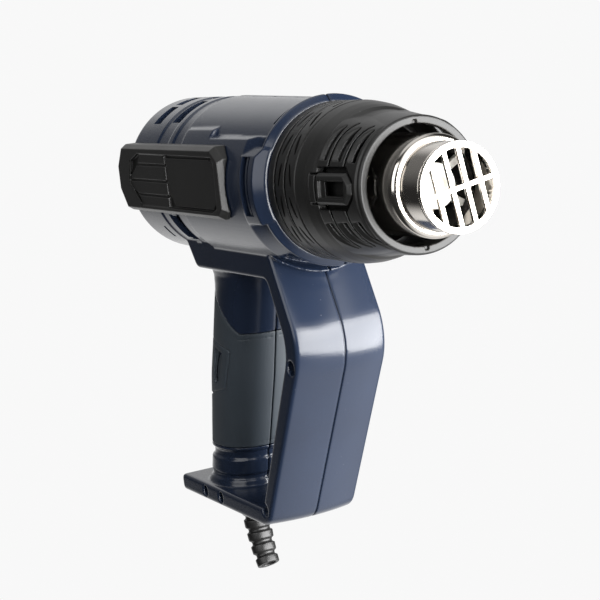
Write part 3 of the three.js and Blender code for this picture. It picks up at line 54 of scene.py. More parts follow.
MM = 0.001  # metres
FIT = 0.3  # gap between pieces that sit in each other
PAST = 1.0  # how far a cutting form goes past a surface
OVERLAP = 0.1  # how far forms that are joined reach into each other
REACH = 400.0  # beyond the whole tool
CREASE = 62.0  # degrees from which an edge is shaded sharp
SMOOTHING = 0.5  # share of the way to its neighbours that a point moves in each pass
MITER_LIMIT = 0.5  # least cosine at a corner of an outline that is moved in
FACETS = 240  # round the barrel
TUBE_FACETS = 192  # round the nozzle and the rear cap
CORE_FACETS = 96  # round the heater's core and the cord's boss
HOLE_FACETS = 64  # round upright holes and the cord's sleeve
SCREW_FACETS = 48
MIX_LOW, MIX_HIGH, MIX_RESULT = 6, 7, 2  # sockets of a mix node that are for colours
BLACK = (0.0, 0.0, 0.0, 1.0)
WHITE = (1.0, 1.0, 1.0, 1.0)

Mesh = bpy.types.Mesh
Node = bpy.types.Node
Socket = bpy.types.NodeSocket
Points = Sequence[Sequence[float]]
Step = tuple[str, dict[str, Any]]
Pair = tuple[float, float]
Triple = tuple[float, float, float]
Colour = Triple


class Body(Enum):
    """The bodies that pieces ride on."""

    HOUSING = "housing"
    ROCKER = "rocker"
    NOSE = "nose"
    CLIP = "clip"


class Boolean(Enum):
    """How solids are combined."""

    JOIN = "UNION"
    CUT = "DIFFERENCE"
    COMMON = "INTERSECT"


class Side(Enum):
    """A side of the tool, as the sign of Y."""

    RIGHT = -1
    LEFT = 1


class Corner(NamedTuple):
    """A corner of an outline, with the radius that rounds it."""

    x: float
    z: float
    radius: float = 0.0


def path(*rows: Sequence[float]) -> tuple[Corner, ...]:
    """Corners from rows of X, Z and, where they are rounded, a radius."""
    return tuple(Corner(*row) for row in rows)


class Span(NamedTuple):
    """A stretch along an axis or an angle."""

    first: float
    last: float


class Slope(NamedTuple):
    """An edge that draws in: over how many degrees, and by how much."""

    angle: float
    drop: float


EVERYWHERE = Span(-REACH, REACH)
ON_THE_RIGHT = Span(-REACH, 0)


def centred(width: float, middle: float = 0.0) -> Span:
    """A stretch with as much on either side of its middle."""
    return Span(middle - width / 2, middle + width / 2)


# Forms: closed meshes in millimetres


def closed(points: Points, faces: Sequence[Sequence[int]]) -> Mesh:
    """A closed mesh with its faces turned outwards.

    Args:
        points: Vertex positions.
        faces: Vertex numbers of each face.

    Returns:
        The mesh.
    """
    mesh = bpy.data.meshes.new("form")
    mesh.from_pydata([tuple(point) for point in points], [], faces)
    work = bmesh.new()
    work.from_mesh(mesh)
    bmesh.ops.recalc_face_normals(work, faces=work.faces)
    work.to_mesh(mesh)
    work.free()
    return mesh


def circle(radius: float, count: int, middle: float = 0.0) -> list[Pair]:
    """Points of a circle round a point on the first axis of a plane."""
    angles = [2 * math.pi * k / count for k in range(count)]
    return [(middle + radius * math.cos(a), radius * math.sin(a)) for a in angles]


def turned(profile: Points, segments: int = FACETS) -> Mesh:
    """A profile turned about the barrel's axis.

    Args:
        profile: (x, radius) points; it ends on the axis at both ends, or closes on itself.
        segments: Facets round the axis.

    Returns:
        The mesh.
    """
    points: list[Triple] = []
    rings: list[list[int]] = []
    for x, radius in profile:
        start = len(points)
        count = segments if radius > 0 else 1
        points += [(x, y, z) for y, z in circle(radius, segments)[:count]]
        rings.append([start + k % count for k in range(segments)])
    on_axis = profile[0][1] == 0 and profile[-1][1] == 0
    pairs = list(zip(rings, rings[1:]))
    if not on_axis:
        pairs.append((rings[-1], rings[0]))
    faces = []
    for near, far in pairs:
        for k in range(segments):
            ahead = (k + 1) % segments
            face = list(dict.fromkeys((near[k], near[ahead], far[ahead], far[k])))
            if len(face) > 2:
                faces.append(face)
    return closed(points, faces)


def disc(x0: float, x1: float, radius: float, segments: int = FACETS) -> Mesh:
    """A solid drum about the barrel's axis."""
    return turned([(x0, 0), (x0, radius), (x1, radius), (x1, 0)], segments)


def skin(rings: Sequence[Sequence[Vector]]) -> Mesh:
    """A closed skin over a row of rings with equal numbers of points.

    Args:
        rings: The rings, from one end to the other.

    Returns:
        The mesh, with a flat face over each end.
    """
    count = len(rings[0])
    points = [point for ring in rings for point in ring]
    faces = [list(range(count)), list(range(len(points) - count, len(points)))]
    for i in range(len(rings) - 1):
        for k in range(count):
            near, ahead = i * count + k, i * count + (k + 1) % count
            faces.append([near, ahead, ahead + count, near + count])
    return closed(points, faces)


def side_loft(rings: Sequence[tuple[Points, float]]) -> Mesh:
    """A skin over outlines in X and Z, each at its own Y."""
    return skin([[Vector((p[0], y, p[1])) for p in outline] for outline, y in rings])


def upright_loft(rings: Sequence[tuple[Points, float]]) -> Mesh:
    """A skin over outlines in X and Y, each at its own Z."""
    return skin([[Vector((p[0], p[1], z)) for p in outline] for outline, z in rings])


def side_prism(outline: Points, y0: float, y1: float) -> Mesh:
    """An outline in X and Z, pulled along Y."""
    return side_loft([(outline, y0), (outline, y1)])


def long_prism(outline: Points, x0: float, x1: float) -> Mesh:
    """An outline in Y and Z, pulled along X."""
    return skin([[Vector((x, p[0], p[1])) for p in outline] for x in (x0, x1)])


def block(x: Span, y: Span, z: Span) -> Mesh:
    """A block with square edges, for cutting and for joining to other forms."""
    return side_prism([(x[0], z[0]), (x[1], z[0]), (x[1], z[1]), (x[0], z[1])], *y)


def cross_bar(x: float, z: float, y: Span, radius: float) -> Mesh:
    """A round bar along Y."""
    return side_prism([(across, z + up) for across, up in circle(radius, SCREW_FACETS, x)], *y)


def polar(radius: float, angle: float) -> Pair:
    """Y and Z of a point round the barrel's axis, with the angle in degrees from the top towards -Y."""
    turn = math.radians(90 + angle)
    return radius * math.cos(turn), radius * math.sin(turn)


def arc(radius: float, angles: Span, step: float = 3.0) -> list[Pair]:
    """Points of an arc round the barrel's axis."""
    count = max(2, math.ceil(abs(angles.last - angles.first) / step))
    share = (angles.last - angles.first) / count
    return [polar(radius, angles.first + share * k) for k in range(count + 1)]


def sector(x: Span, radii: Span, angles: Span, slope: Slope | None = None) -> Mesh:
    """A piece of a ring about the barrel's axis.

    Args:
        x: Its ends along the barrel.
        radii: Inner and outer radius.
        angles: Its ends round the barrel, in degrees from the top.
        slope: How its upper end draws in, if it does.

    Returns:
        The mesh.
    """
    angle, drop = slope or (0.0, 0.0)
    outline = arc(radii.last, Span(angles.first + angle, angles.last))
    outline += arc(radii.first, Span(angles.last, angles.first))
    if drop > 0:
        outline.append(polar(radii.last - drop, angles.first))
    return long_prism(outline, *x)


def sectors(x: Span, radii: Span, angles: Span, slope: Slope | None = None) -> list[Mesh]:
    """The same sector on the right and on the left."""
    near = sector(x, radii, angles, slope)
    return [near, mirrored(near)]


def rounded(corners: Sequence[Corner], steps: int = 8) -> list[Vector]:
    """An outline with its corners rounded by arcs.

    Args:
        corners: The corners, in order.
        steps: Facets of each arc.

    Returns:
        The outline's points, as many for any sizes of the same corners.
    """
    outline: list[Vector] = []
    for i, (x, z, radius) in enumerate(corners):
        here = Vector((x, z))
        if radius == 0:
            outline.append(here)
            continue
        before, after = corners[i - 1], corners[(i + 1) % len(corners)]
        back = (Vector(before[:2]) - here).normalized()
        ahead = (Vector(after[:2]) - here).normalized()
        half = back.angle(ahead) / 2
        centre = here + (back + ahead).normalized() * (radius / math.sin(half))
        start = here + back * (radius / math.tan(half)) - centre
        turn = -math.copysign(math.pi - 2 * half, back.x * ahead.y - back.y * ahead.x)
        outline += [centre + Matrix.Rotation(turn * k / steps, 2) @ start for k in range(steps + 1)]
    return outline


def inset(outline: Sequence[Vector], distance: float) -> list[Vector]:
    """An outline moved inwards.

    Args:
        outline: The outline's points.
        distance: How far each edge moves in.

    Returns:
        As many points.
    """
    area = sum(a.x * b.y - b.x * a.y for a, b in zip(outline, [*outline[1:], outline[0]]))
    inward = math.copysign(distance, area)
    moved = []
    for i, point in enumerate(outline):
        before = (point - outline[i - 1]).normalized()
        after = (outline[(i + 1) % len(outline)] - point).normalized()
        along = (before + after).normalized()
        miter = inward / max(along.dot(before), MITER_LIMIT)
        moved.append(Vector((point.x - along.y * miter, point.y + along.x * miter)))
    return moved


def mirrored(mesh: Mesh) -> Mesh:
    """The same form on the other side of the centre plane."""
    copy = mesh.copy()
    copy.transform(Matrix.Scale(-1, 4, (0, 1, 0)))
    copy.flip_normals()
    return copy


def worked(mesh: Mesh, steps: Sequence[Step]) -> Mesh:
    """A form after a row of modifiers.

    Args:
        mesh: The form.
        steps: Each modifier's type and its settings.

    Returns:
        A new mesh.
    """
    bench = bpy.data.objects.new("bench", mesh)
    bpy.context.scene.collection.objects.link(bench)
    for kind, settings in steps:
        modifier = bench.modifiers.new(kind.lower(), kind)
        for key, value in settings.items():
            setattr(modifier, key, value)
    graph = bpy.context.evaluated_depsgraph_get()
    result = bpy.data.meshes.new_from_object(bench.evaluated_get(graph))
    bpy.data.objects.remove(bench)
    return result


def combined(how: Boolean, base: Mesh, tools: Sequence[Mesh]) -> Mesh:
    """A form joined with others, cut by them or kept where they are.

    Args:
        how: The way of combining.
        base: The form to start from.
        tools: The other forms.

    Returns:
        A new mesh.
    """
    helpers = [bpy.data.objects.new("tool", tool) for tool in tools]
    for helper in helpers:
        bpy.context.scene.collection.objects.link(helper)
    settings = {"operation": how.value, "solver": "MANIFOLD"}
    result = worked(base, [("BOOLEAN", {**settings, "object": helper}) for helper in helpers])
    for helper in helpers:
        bpy.data.objects.remove(helper)
    return result


def joined(*forms: Mesh) -> Mesh:
    """All the forms as one."""
    return combined(Boolean.JOIN, forms[0], forms[1:])


def cut(base: Mesh, *tools: Mesh) -> Mesh:
    """The first form without the others."""
    return combined(Boolean.CUT, base, tools)


def common(base: Mesh, *tools: Mesh) -> Mesh:
    """Where all the forms are."""
    return combined(Boolean.COMMON, base, tools)


def eased(mesh: Mesh, inside: Callable[[Vector], bool], passes: int) -> Mesh:
    """The mesh with one part of it smoothed further.

    Args:
        mesh: The mesh, which is changed.
        inside: Whether a point belongs to that part.
        passes: How often that part is smoothed.

    Returns:
        The mesh.
    """
    form = bmesh.new()
    form.from_mesh(mesh)
    points = [point for point in form.verts if inside(point.co)]
    axes = {"use_axis_x": True, "use_axis_y": True, "use_axis_z": True}
    for _ in range(passes):
        bmesh.ops.smooth_vert(form, verts=points, factor=SMOOTHING, **axes)
    form.to_mesh(mesh)
    form.free()
    return mesh


@dataclass(frozen=True)
class Moulding:
    """How a form's edges are softened: grid in millimetres, smoothing passes and share of faces kept."""

    grid: float
    passes: int
    keep: float

    @property
    def remesh(self) -> Step:
        """The step that gives a form an even grid."""
        return "REMESH", {"mode": "VOXEL", "voxel_size": self.grid}

    def soften(self, mesh: Mesh) -> Mesh:
        """The form with softly rounded edges, as it comes out of a mould."""
        steps = [
            self.remesh,
            ("SMOOTH", {"factor": SMOOTHING, "iterations": self.passes}),
            ("DECIMATE", {"ratio": self.keep}),
        ]
        return worked(mesh, steps)


def half_of(whole: Mesh, side: Side, parting: float) -> Mesh:
    """What a form has on one side, up to half of a parting."""
    near, far = side.value * parting / 2, side.value * REACH
    return common(whole, block(EVERYWHERE, Span(min(near, far), max(near, far)), EVERYWHERE))


# Node groups for what several finishes share


class Wiring:
    """Adds nodes to one node tree and links them."""

    def __init__(self, tree: bpy.types.NodeTree) -> None:
        """Keeps the tree."""
        self.tree = tree

    def add(self, kind: str, inputs: dict[Any, Any] | None = None, **settings: Any) -> Node:
        """A new node.

        Args:
            kind: The node's type.
            inputs: What each input gets: a socket to link, or a plain value.
            settings: The node's own options.

        Returns:
            The node.
        """
        node = self.tree.nodes.new(kind)
        for key, value in settings.items():
            setattr(node, key, value)
        self.feed(node, inputs or {})
        return node

    def feed(self, node: Node, inputs: dict[Any, Any]) -> None:
        """Gives inputs of a node a socket to link or a plain value."""
        for key, value in inputs.items():
            if isinstance(value, Socket):
                self.tree.links.new(value, node.inputs[key])
            else:
                node.inputs[key].default_value = value

    def math(self, operation: str, first: Any, second: Any, clamp: bool = False) -> Socket:
        """The result of a sum on two values or sockets."""
        node = self.add("ShaderNodeMath", {0: first, 1: second}, operation=operation, use_clamp=clamp)
        return node.outputs[0]

    def group(self, effect: "Effect", **inputs: Any) -> Socket:
        """What a shared effect puts out, with its own values here."""
        return self.add("ShaderNodeGroup", inputs, node_tree=effect.tree()).outputs[0]

    def mixed(self, share: Socket, low: Any, high: Any) -> Socket:
        """A colour between two colours or sockets."""
        inputs = {"Factor": share, MIX_LOW: low, MIX_HIGH: high}
        return self.add("ShaderNodeMix", inputs, data_type="RGBA").outputs[MIX_RESULT]

    def stretched(self, value: Socket, over: Span) -> Socket:
        """A value on a scale that runs from 0 to 1 over a stretch."""
        scale = {"Value": value, "From Min": over.first, "From Max": over.last}
        return self.add("ShaderNodeMapRange", scale).outputs["Result"]


class Effect(ABC):
    """An effect of the surface that several finishes share, as one node group."""

    kind = "NodeSocketFloat"
    name: str
    inputs: dict[str, float]
    output: str

    def tree(self) -> bpy.types.NodeTree:
        """The node group, made when it is first asked for."""
        made = bpy.data.node_groups.get(self.name)
        if made is not None:
            return made
        tree = bpy.data.node_groups.new(self.name, "ShaderNodeTree")
        for label, value in self.inputs.items():
            socket = tree.interface.new_socket(label, in_out="INPUT", socket_type=self.kind)
            socket.default_value = value
        tree.interface.new_socket(self.output, in_out="OUTPUT", socket_type=self.kind)
        wiring = Wiring(tree)
        given = wiring.add("NodeGroupInput")
        wiring.add("NodeGroupOutput", {self.output: self.wire(wiring, given)})
        return tree

    @abstractmethod
    def wire(self, wiring: Wiring, given: Node) -> Socket:
        """Builds the effect.

        Args:
            wiring: The group's tree.
            given: The group's inputs.

        Returns:
            The socket that the group puts out.
        """

    @staticmethod
    def noise(wiring: Wiring, size: Any, detail: float = 2.0) -> Socket:
        """Even noise whose patches have a size in metres."""
        place = wiring.add("ShaderNodeTexCoord").outputs["Object"]
        scale = wiring.math("DIVIDE", 1.0, size)
        cloud = wiring.add("ShaderNodeTexNoise", {"Vector": place, "Scale": scale, "Detail": detail})
        return cloud.outputs["Fac"]


class MouldedGrain(Effect):
    """The fine spark-eroded grain of a moulded surface."""

    name = "moulded_grain"
    inputs = {"Size": 0.0005}
    output = "Height"
    detail = 3.0
    fine_size = 0.37
    fine_share = 0.5

    def wire(self, wiring: Wiring, given: Node) -> Socket:
        """Two sizes of noise, the finer one weaker."""
        coarse = self.noise(wiring, given.outputs["Size"], self.detail)
        fine = self.noise(wiring, wiring.math("MULTIPLY", given.outputs["Size"], self.fine_size))
        return wiring.math("ADD", coarse, wiring.math("MULTIPLY", fine, self.fine_share))


class HandlingFilm(Effect):
    """Patches that handling has made a little shinier or duller."""

    name = "handling_film"
    inputs = {"Roughness": 0.4, "Spread": 0.1, "Size": 0.02}
    output = "Roughness"
    detail = 4.0
    middle = 0.5

    def wire(self, wiring: Wiring, given: Node) -> Socket:
        """The roughness, moved up and down by noise."""
        cloud = self.noise(wiring, given.outputs["Size"], self.detail)
        patch = wiring.math("SUBTRACT", cloud, self.middle)
        change = wiring.math("MULTIPLY", patch, given.outputs["Spread"])
        return wiring.math("ADD", given.outputs["Roughness"], change, clamp=True)


class ToneDrift(Effect):
    """A slight drift of tone over a surface."""

    name = "tone_drift"
    inputs = {"Size": 0.03}
    output = "Mask"
    detail = 5.0
    stretch = Span(0.3, 0.7)

    def wire(self, wiring: Wiring, given: Node) -> Socket:
        """Soft noise with its middle stretched."""
        return wiring.stretched(self.noise(wiring, given.outputs["Size"], self.detail), self.stretch)


class SettledDust(Effect):
    """Sparse specks of dust, most of them on surfaces that face up."""

    name = "settled_dust"
    inputs = {"Amount": 0.3, "Size": 0.003}
    output = "Mask"
    speck_edge = Span(0.1, 0.04)
    patch_size = 0.012
    patch_edge = Span(0.55, 0.7)
    on_top = 0.4
    on_sides = 0.6

    def wire(self, wiring: Wiring, given: Node) -> Socket:
        """Small cells, kept where a coarser noise is high."""
        place = wiring.add("ShaderNodeTexCoord").outputs["Object"]
        scale = wiring.math("DIVIDE", 1.0, given.outputs["Size"])
        cells = wiring.add("ShaderNodeTexVoronoi", {"Vector": place, "Scale": scale})
        speck = wiring.stretched(cells.outputs["Distance"], self.speck_edge)
        patch = wiring.stretched(self.noise(wiring, self.patch_size), self.patch_edge)
        normal = wiring.add("ShaderNodeNewGeometry").outputs["Normal"]
        facing = wiring.add("ShaderNodeSeparateXYZ", {0: normal}).outputs["Z"]
        upward = wiring.math("MULTIPLY_ADD", facing, self.on_top, clamp=True)
        upward.node.inputs[2].default_value = self.on_sides
        found = wiring.math("MULTIPLY", speck, patch)
        settled = wiring.math("MULTIPLY", found, upward)
        return wiring.math("MULTIPLY", settled, given.outputs["Amount"], clamp=True)


class TurningMarks(Effect):
    """Fine lines round a turned or spun piece."""

    name = "turning_marks"
    inputs = {"Pitch": 0.0003}
    output = "Height"

    def wire(self, wiring: Wiring, given: Node) -> Socket:
        """Noise that changes along the axis only."""
        place = wiring.add("ShaderNodeTexCoord").outputs["Object"]
        along = wiring.add("ShaderNodeSeparateXYZ", {0: place}).outputs["X"]
        scaled = wiring.math("DIVIDE", along, given.outputs["Pitch"])
        lines = wiring.add("ShaderNodeTexNoise", {"W": scaled, "Scale": 1.0}, noise_dimensions="1D")
        return lines.outputs["Fac"]


# Finishes


@dataclass(frozen=True)
class Finish(ABC):
    """A finish of the tool's surfaces, made into one material."""

    name: str
    slot: str
    colour: Colour
    roughness: float

    def material(self) -> bpy.types.Material:
        """The finish's material, made when it is first asked for."""
        made = bpy.data.materials.get(self.name)
        if made is not None:
            return made
        material = bpy.data.materials.new(self.name)
        material.use_nodes = True
        material.diffuse_color = (*self.colour, 1.0)
        self.wire(Wiring(material.node_tree), material.node_tree.nodes["Principled BSDF"])
        return material

    @abstractmethod
    def wire(self, wiring: Wiring, shader: Node) -> None:
        """Builds the finish.

        Args:
            wiring: The material's tree.
            shader: Its Principled BSDF.
        """

    def tinted(self, wiring: Wiring, share: float, size: float) -> Socket:
        """The finish's colour, drifting to a lighter or darker tone.

        Args:
            wiring: The material's tree.
            share: How far the tone drifts, as a share of the colour.
            size: Size of the drift's patches, in metres.

        Returns:
            The colour's socket.
        """
        drift = wiring.group(ToneDrift(), Size=size)
        dark, light = ([c * k for c in self.colour] for k in (1 - share, 1 + share))
        return wiring.mixed(drift, (*dark, 1.0), (*light, 1.0))

    @staticmethod
    def bumped(wiring: Wiring, height: Socket, depth: float) -> Socket:
        """The normal of a height, with its depth in metres."""
        bump = wiring.add("ShaderNodeBump", {"Height": height, "Distance": depth, "Strength": 1.0})
        return bump.outputs["Normal"]


@dataclass(frozen=True)
class MouldedPlastic(Finish):
    """Moulded plastic or rubber with a fine grain, a film of handling and a little dust."""

    grain: float = 0.0005
    grain_depth: float = 0.00002
    film: float = 0.12
    drift: float = 0.08
    drift_size: float = 0.03
    dust: float = 0.25
    dust_colour: Colour = (0.55, 0.55, 0.55)
    gloss: float = 0.5

    def wire(self, wiring: Wiring, shader: Node) -> None:
        """Colour with drift and dust, roughness with film, and grain."""
        dust = wiring.group(SettledDust(), Amount=self.dust)
        tone = self.tinted(wiring, self.drift, self.drift_size)
        film = wiring.group(HandlingFilm(), Roughness=self.roughness, Spread=self.film)
        grain = wiring.group(MouldedGrain(), Size=self.grain)
        inputs = {
            "Base Color": wiring.mixed(dust, tone, (*self.dust_colour, 1.0)),
            "Roughness": wiring.math("MAXIMUM", film, dust),
            "Normal": self.bumped(wiring, grain, self.grain_depth),
            "Specular IOR Level": self.gloss,
        }
        wiring.feed(shader, inputs)


@dataclass(frozen=True)
class TurnedMetal(Finish):
    """Bare metal with fine turning marks and a film of handling."""

    pitch: float = 0.0003
    marks: float = 0.000002
    film: float = 0.06
    film_size: float = 0.008
    drift: float = 0.03
    drift_size: float = 0.01

    def wire(self, wiring: Wiring, shader: Node) -> None:
        """Metal with drifting tone, film and lines round its axis."""
        film = {"Roughness": self.roughness, "Spread": self.film, "Size": self.film_size}
        marks = wiring.group(TurningMarks(), Pitch=self.pitch)
        inputs = {
            "Base Color": self.tinted(wiring, self.drift, self.drift_size),
            "Roughness": wiring.group(HandlingFilm(), **film),
            "Normal": self.bumped(wiring, marks, self.marks),
            "Metallic": 1.0,
        }
        wiring.feed(shader, inputs)


@dataclass(frozen=True)
class FiredStone(Finish):
    """Ceramic, mica or board: a dull body with mottled tone and a coarse grain."""

    drift: float = 0.12
    drift_size: float = 0.004
    film: float = 0.2
    grain: float = 0.0004
    grain_depth: float = 0.00003

    def wire(self, wiring: Wiring, shader: Node) -> None:
        """Mottled colour and grain."""
        grain = wiring.group(MouldedGrain(), Size=self.grain)
        inputs = {
            "Base Color": self.tinted(wiring, self.drift, self.drift_size),
            "Roughness": wiring.group(HandlingFilm(), Roughness=self.roughness, Spread=self.film),
            "Normal": self.bumped(wiring, grain, self.grain_depth),
        }
        wiring.feed(shader, inputs)


NAVY_SHELL = MouldedPlastic("navy_shell", "navy_plastic", (0.0098, 0.0155, 0.031), 0.19, film=0.06)
CHARCOAL = MouldedPlastic("charcoal_moulding", "black_plastic", (0.0075, 0.0075, 0.0073), 0.4, gloss=0.4)
SLATE_RUBBER = MouldedPlastic("slate_rubber", "grip_rubber", (0.022, 0.030, 0.039), 0.6, grain_depth=0.00003)
BLACK_RUBBER = MouldedPlastic("black_rubber_sleeve", "black_rubber", (0.008, 0.008, 0.008), 0.4)
BRIGHT_STEEL = TurnedMetal("bright_steel", "nozzle_steel", (0.62, 0.585, 0.54), 0.14)
PLATED_STEEL = TurnedMetal("plated_steel", "plain_steel", (0.55, 0.55, 0.57), 0.32)
WOUND_WIRE = TurnedMetal("resistance_wire", "heater_wire", (0.08, 0.07, 0.06), 0.4)
FIRED_CERAMIC = FiredStone("fired_ceramic", "ceramic", (0.85, 0.83, 0.78), 0.5)
# Mica with its tone darkened to near black: painted shade for the dark inside of the heater behind the
# grille.
SHADED_MICA = FiredStone("mica_painted_shade", "mica", (0.03, 0.027, 0.024), 0.6, drift=0.3)
SOLDER_MASK = FiredStone("solder_mask", "circuit_board", (0.03, 0.12, 0.06), 0.4)


# Pieces and sub-assemblies


@dataclass
class Piece:
    """One finished piece, in millimetres, and how it belongs to the tool."""

    name: str
    mesh: Mesh
    body: Body
    finish: Finish
    stands_for: tuple[str, ...]

    def place(self) -> bpy.types.Object:
        """Puts the piece into the scene, in metres.

        Returns:
            The piece's object, riding on its body.
        """
        self.mesh.transform(Matrix.Scale(MM, 4))
        self.mesh.shade_smooth()
        self.mesh.set_sharp_from_angle(angle=math.radians(CREASE))
        self.mesh.materials.clear()
        self.mesh.materials.append(self.finish.material())
        self.mesh.name = self.name
        made = bpy.data.objects.new(self.name, self.mesh)
        bpy.context.scene.collection.objects.link(made)
        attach(made, self.body.value)
        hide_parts(*self.stands_for)
        return made


class SubAssembly(ABC):
    """Pieces that belong together."""

    @abstractmethod
    def build(self) -> list[Piece]:
        """The sub-assembly's pieces."""

    def dress(self) -> list[bpy.types.Object]:
        """Builds the pieces, puts them into the scene and reports them."""
        made = []
        for piece in self.build():
            made.append(piece.place())
            log.info("%s: %d faces, rides on %s", piece.name, len(piece.mesh.polygons), piece.body.value)
        return made


class Vent(NamedTuple):
    """An air inlet round the barrel, on both sides."""

    x: float
    width: float
    first: float
    last: float


class Well(NamedTuple):
    """A screw's well in the right side, with the CAD node of its screw."""

    node: str
    x: float
    z: float
    radius: float


@dataclass
class Grip:
    """The leaning grip: sections below the soffit as (drop, half depth, half width)."""

    soffit_z: float = -41.7
    centre_x: float = 60.2
    lean: float = 0.335
    squareness: float = 2.3
    cover: float = 2.0
    cover_bottom: float = -89.2
    cover_front_top: float = -30.8
    cover_knee: float = 3.6
    cover_bend: float = 45.0
    curve: float = 0.5
    body: tuple[Triple, ...] = (
        (6, 26.5, 20.6), (0, 25, 20), (-3.3, 23, 19), (-10, 22, 18.5), (-30, 22, 18.8),
        (-53, 22.4, 19.2), (-73, 21.4, 18.6), (-90.6, 20.6, 18.2),
    )
    foot: tuple[Triple, ...] = (
        (-91.4, 19, 16.8), (-95.2, 19, 16.8), (-96, 20.2, 18), (-103.2, 20.2, 18),
        (-103.8, 19.3, 17.2), (-106, 19.3, 17.2), (-106.6, 20.4, 18.1), (-109.8, 22, 19),
        (-113, 24, 20),
    )
    points: int = 96

    def centre(self, drop: float) -> float:
        """X of the grip's middle at a drop below the soffit."""
        return self.centre_x + self.lean * drop

    def section(self, drop: float) -> Pair:
        """Half depth and half width at a drop, on smooth curves along the body and straight in the foot."""
        rows = [*self.body, *self.foot]
        below = next((i for i, row in enumerate(rows) if row[0] <= drop), len(rows) - 1)
        low, high = max(below, 1), max(below, 1) - 1
        share = (drop - rows[high][0]) / (rows[low][0] - rows[high][0])
        if 1 < low < len(self.body):
            share = share * share * (3 - 2 * share) * self.curve + share * (1 - self.curve)
        return tuple(a + (b - a) * share for a, b in zip(rows[high][1:], rows[low][1:]))

    def loft(self, wall: float = 0.0, drops: Sequence[float] | None = None) -> Mesh:
        """The grip as a solid, thinner by a wall.

        Args:
            wall: How far the surface lies inside the grip's own.
            drops: Heights below the soffit; the grip's own sections if left out.

        Returns:
            The mesh.
        """
        if drops is None:
            top, bottom = self.body[0][0], self.body[-1][0]
            count = 40
            drops = [top + (bottom - top) * k / count for k in range(count + 1)]
            drops += [row[0] for row in self.foot]
        rings = []
        power = 2 / self.squareness
        for drop in drops:
            depth, width = self.section(drop)
            ring = []
            for c, s in circle(1.0, self.points):
                x = math.copysign(abs(c) ** power, c) * (depth - wall)
                y = math.copysign(abs(s) ** power, s) * (width - wall)
                ring.append(Vector((self.centre(drop) + x, y, self.soffit_z + drop)))
            rings.append(ring)
        return skin(rings)

    def cover_zone(self, gap: float, half_width: float) -> Mesh:
        """The space that the rubber covers take, drawn in by a gap."""
        knee = self.centre_x + self.cover_knee - gap * math.tan(math.radians(self.cover_bend / 2))
        front = self.soffit_z + self.cover_front_top - gap
        bottom = self.soffit_z + self.cover_bottom + gap
        rear = knee - REACH
        outline = [(knee + REACH, front), (knee, front), (rear, front + REACH), (rear, bottom)]
        return side_prism([*outline, (knee + REACH, bottom)], -half_width, half_width)


@dataclass
class SwitchPlace:
    """Where the rocker switch sits on the rear of the grip: X points into the grip and Z up along it."""

    grip: Grip
    drop: float = 49.3
    seat: float = 3.2
    bezel: Triple = (1.6, 17.0, 24.0)
    body: Triple = (15.0, 14.6, 20.6)
    rocker: Triple = (5.0, 10.0, 15.0)

    def matrix(self) -> Matrix:
        """From the switch's own axes to the tool's."""
        depth, _ = self.grip.section(-self.drop)
        place = Vector((self.grip.centre(-self.drop) - depth, 0, self.grip.soffit_z - self.drop))
        return Matrix.Translation(place) @ Matrix.Rotation(math.atan(self.grip.lean), 4, "Y")

    def put(self, mesh: Mesh) -> Mesh:
        """A form in the switch's axes, moved to its place."""
        mesh.transform(self.matrix())
        return mesh

    def brick(self, x: Span, width: float, height: float) -> Mesh:
        """A block in the switch's axes, moved to its place."""
        return self.put(block(x, centred(width), centred(height)))

    def opening(self) -> list[Mesh]:
        """What the housing and the covers leave free for the switch."""
        _, width, height = self.bezel
        depth, inner_width, inner_height = self.body
        return [
            self.brick(Span(-3 * self.seat, self.seat), width + 2 * FIT, height + 2 * FIT),
            self.brick(Span(0, self.seat + depth), inner_width + 2 * FIT, inner_height + 2 * FIT),
        ]


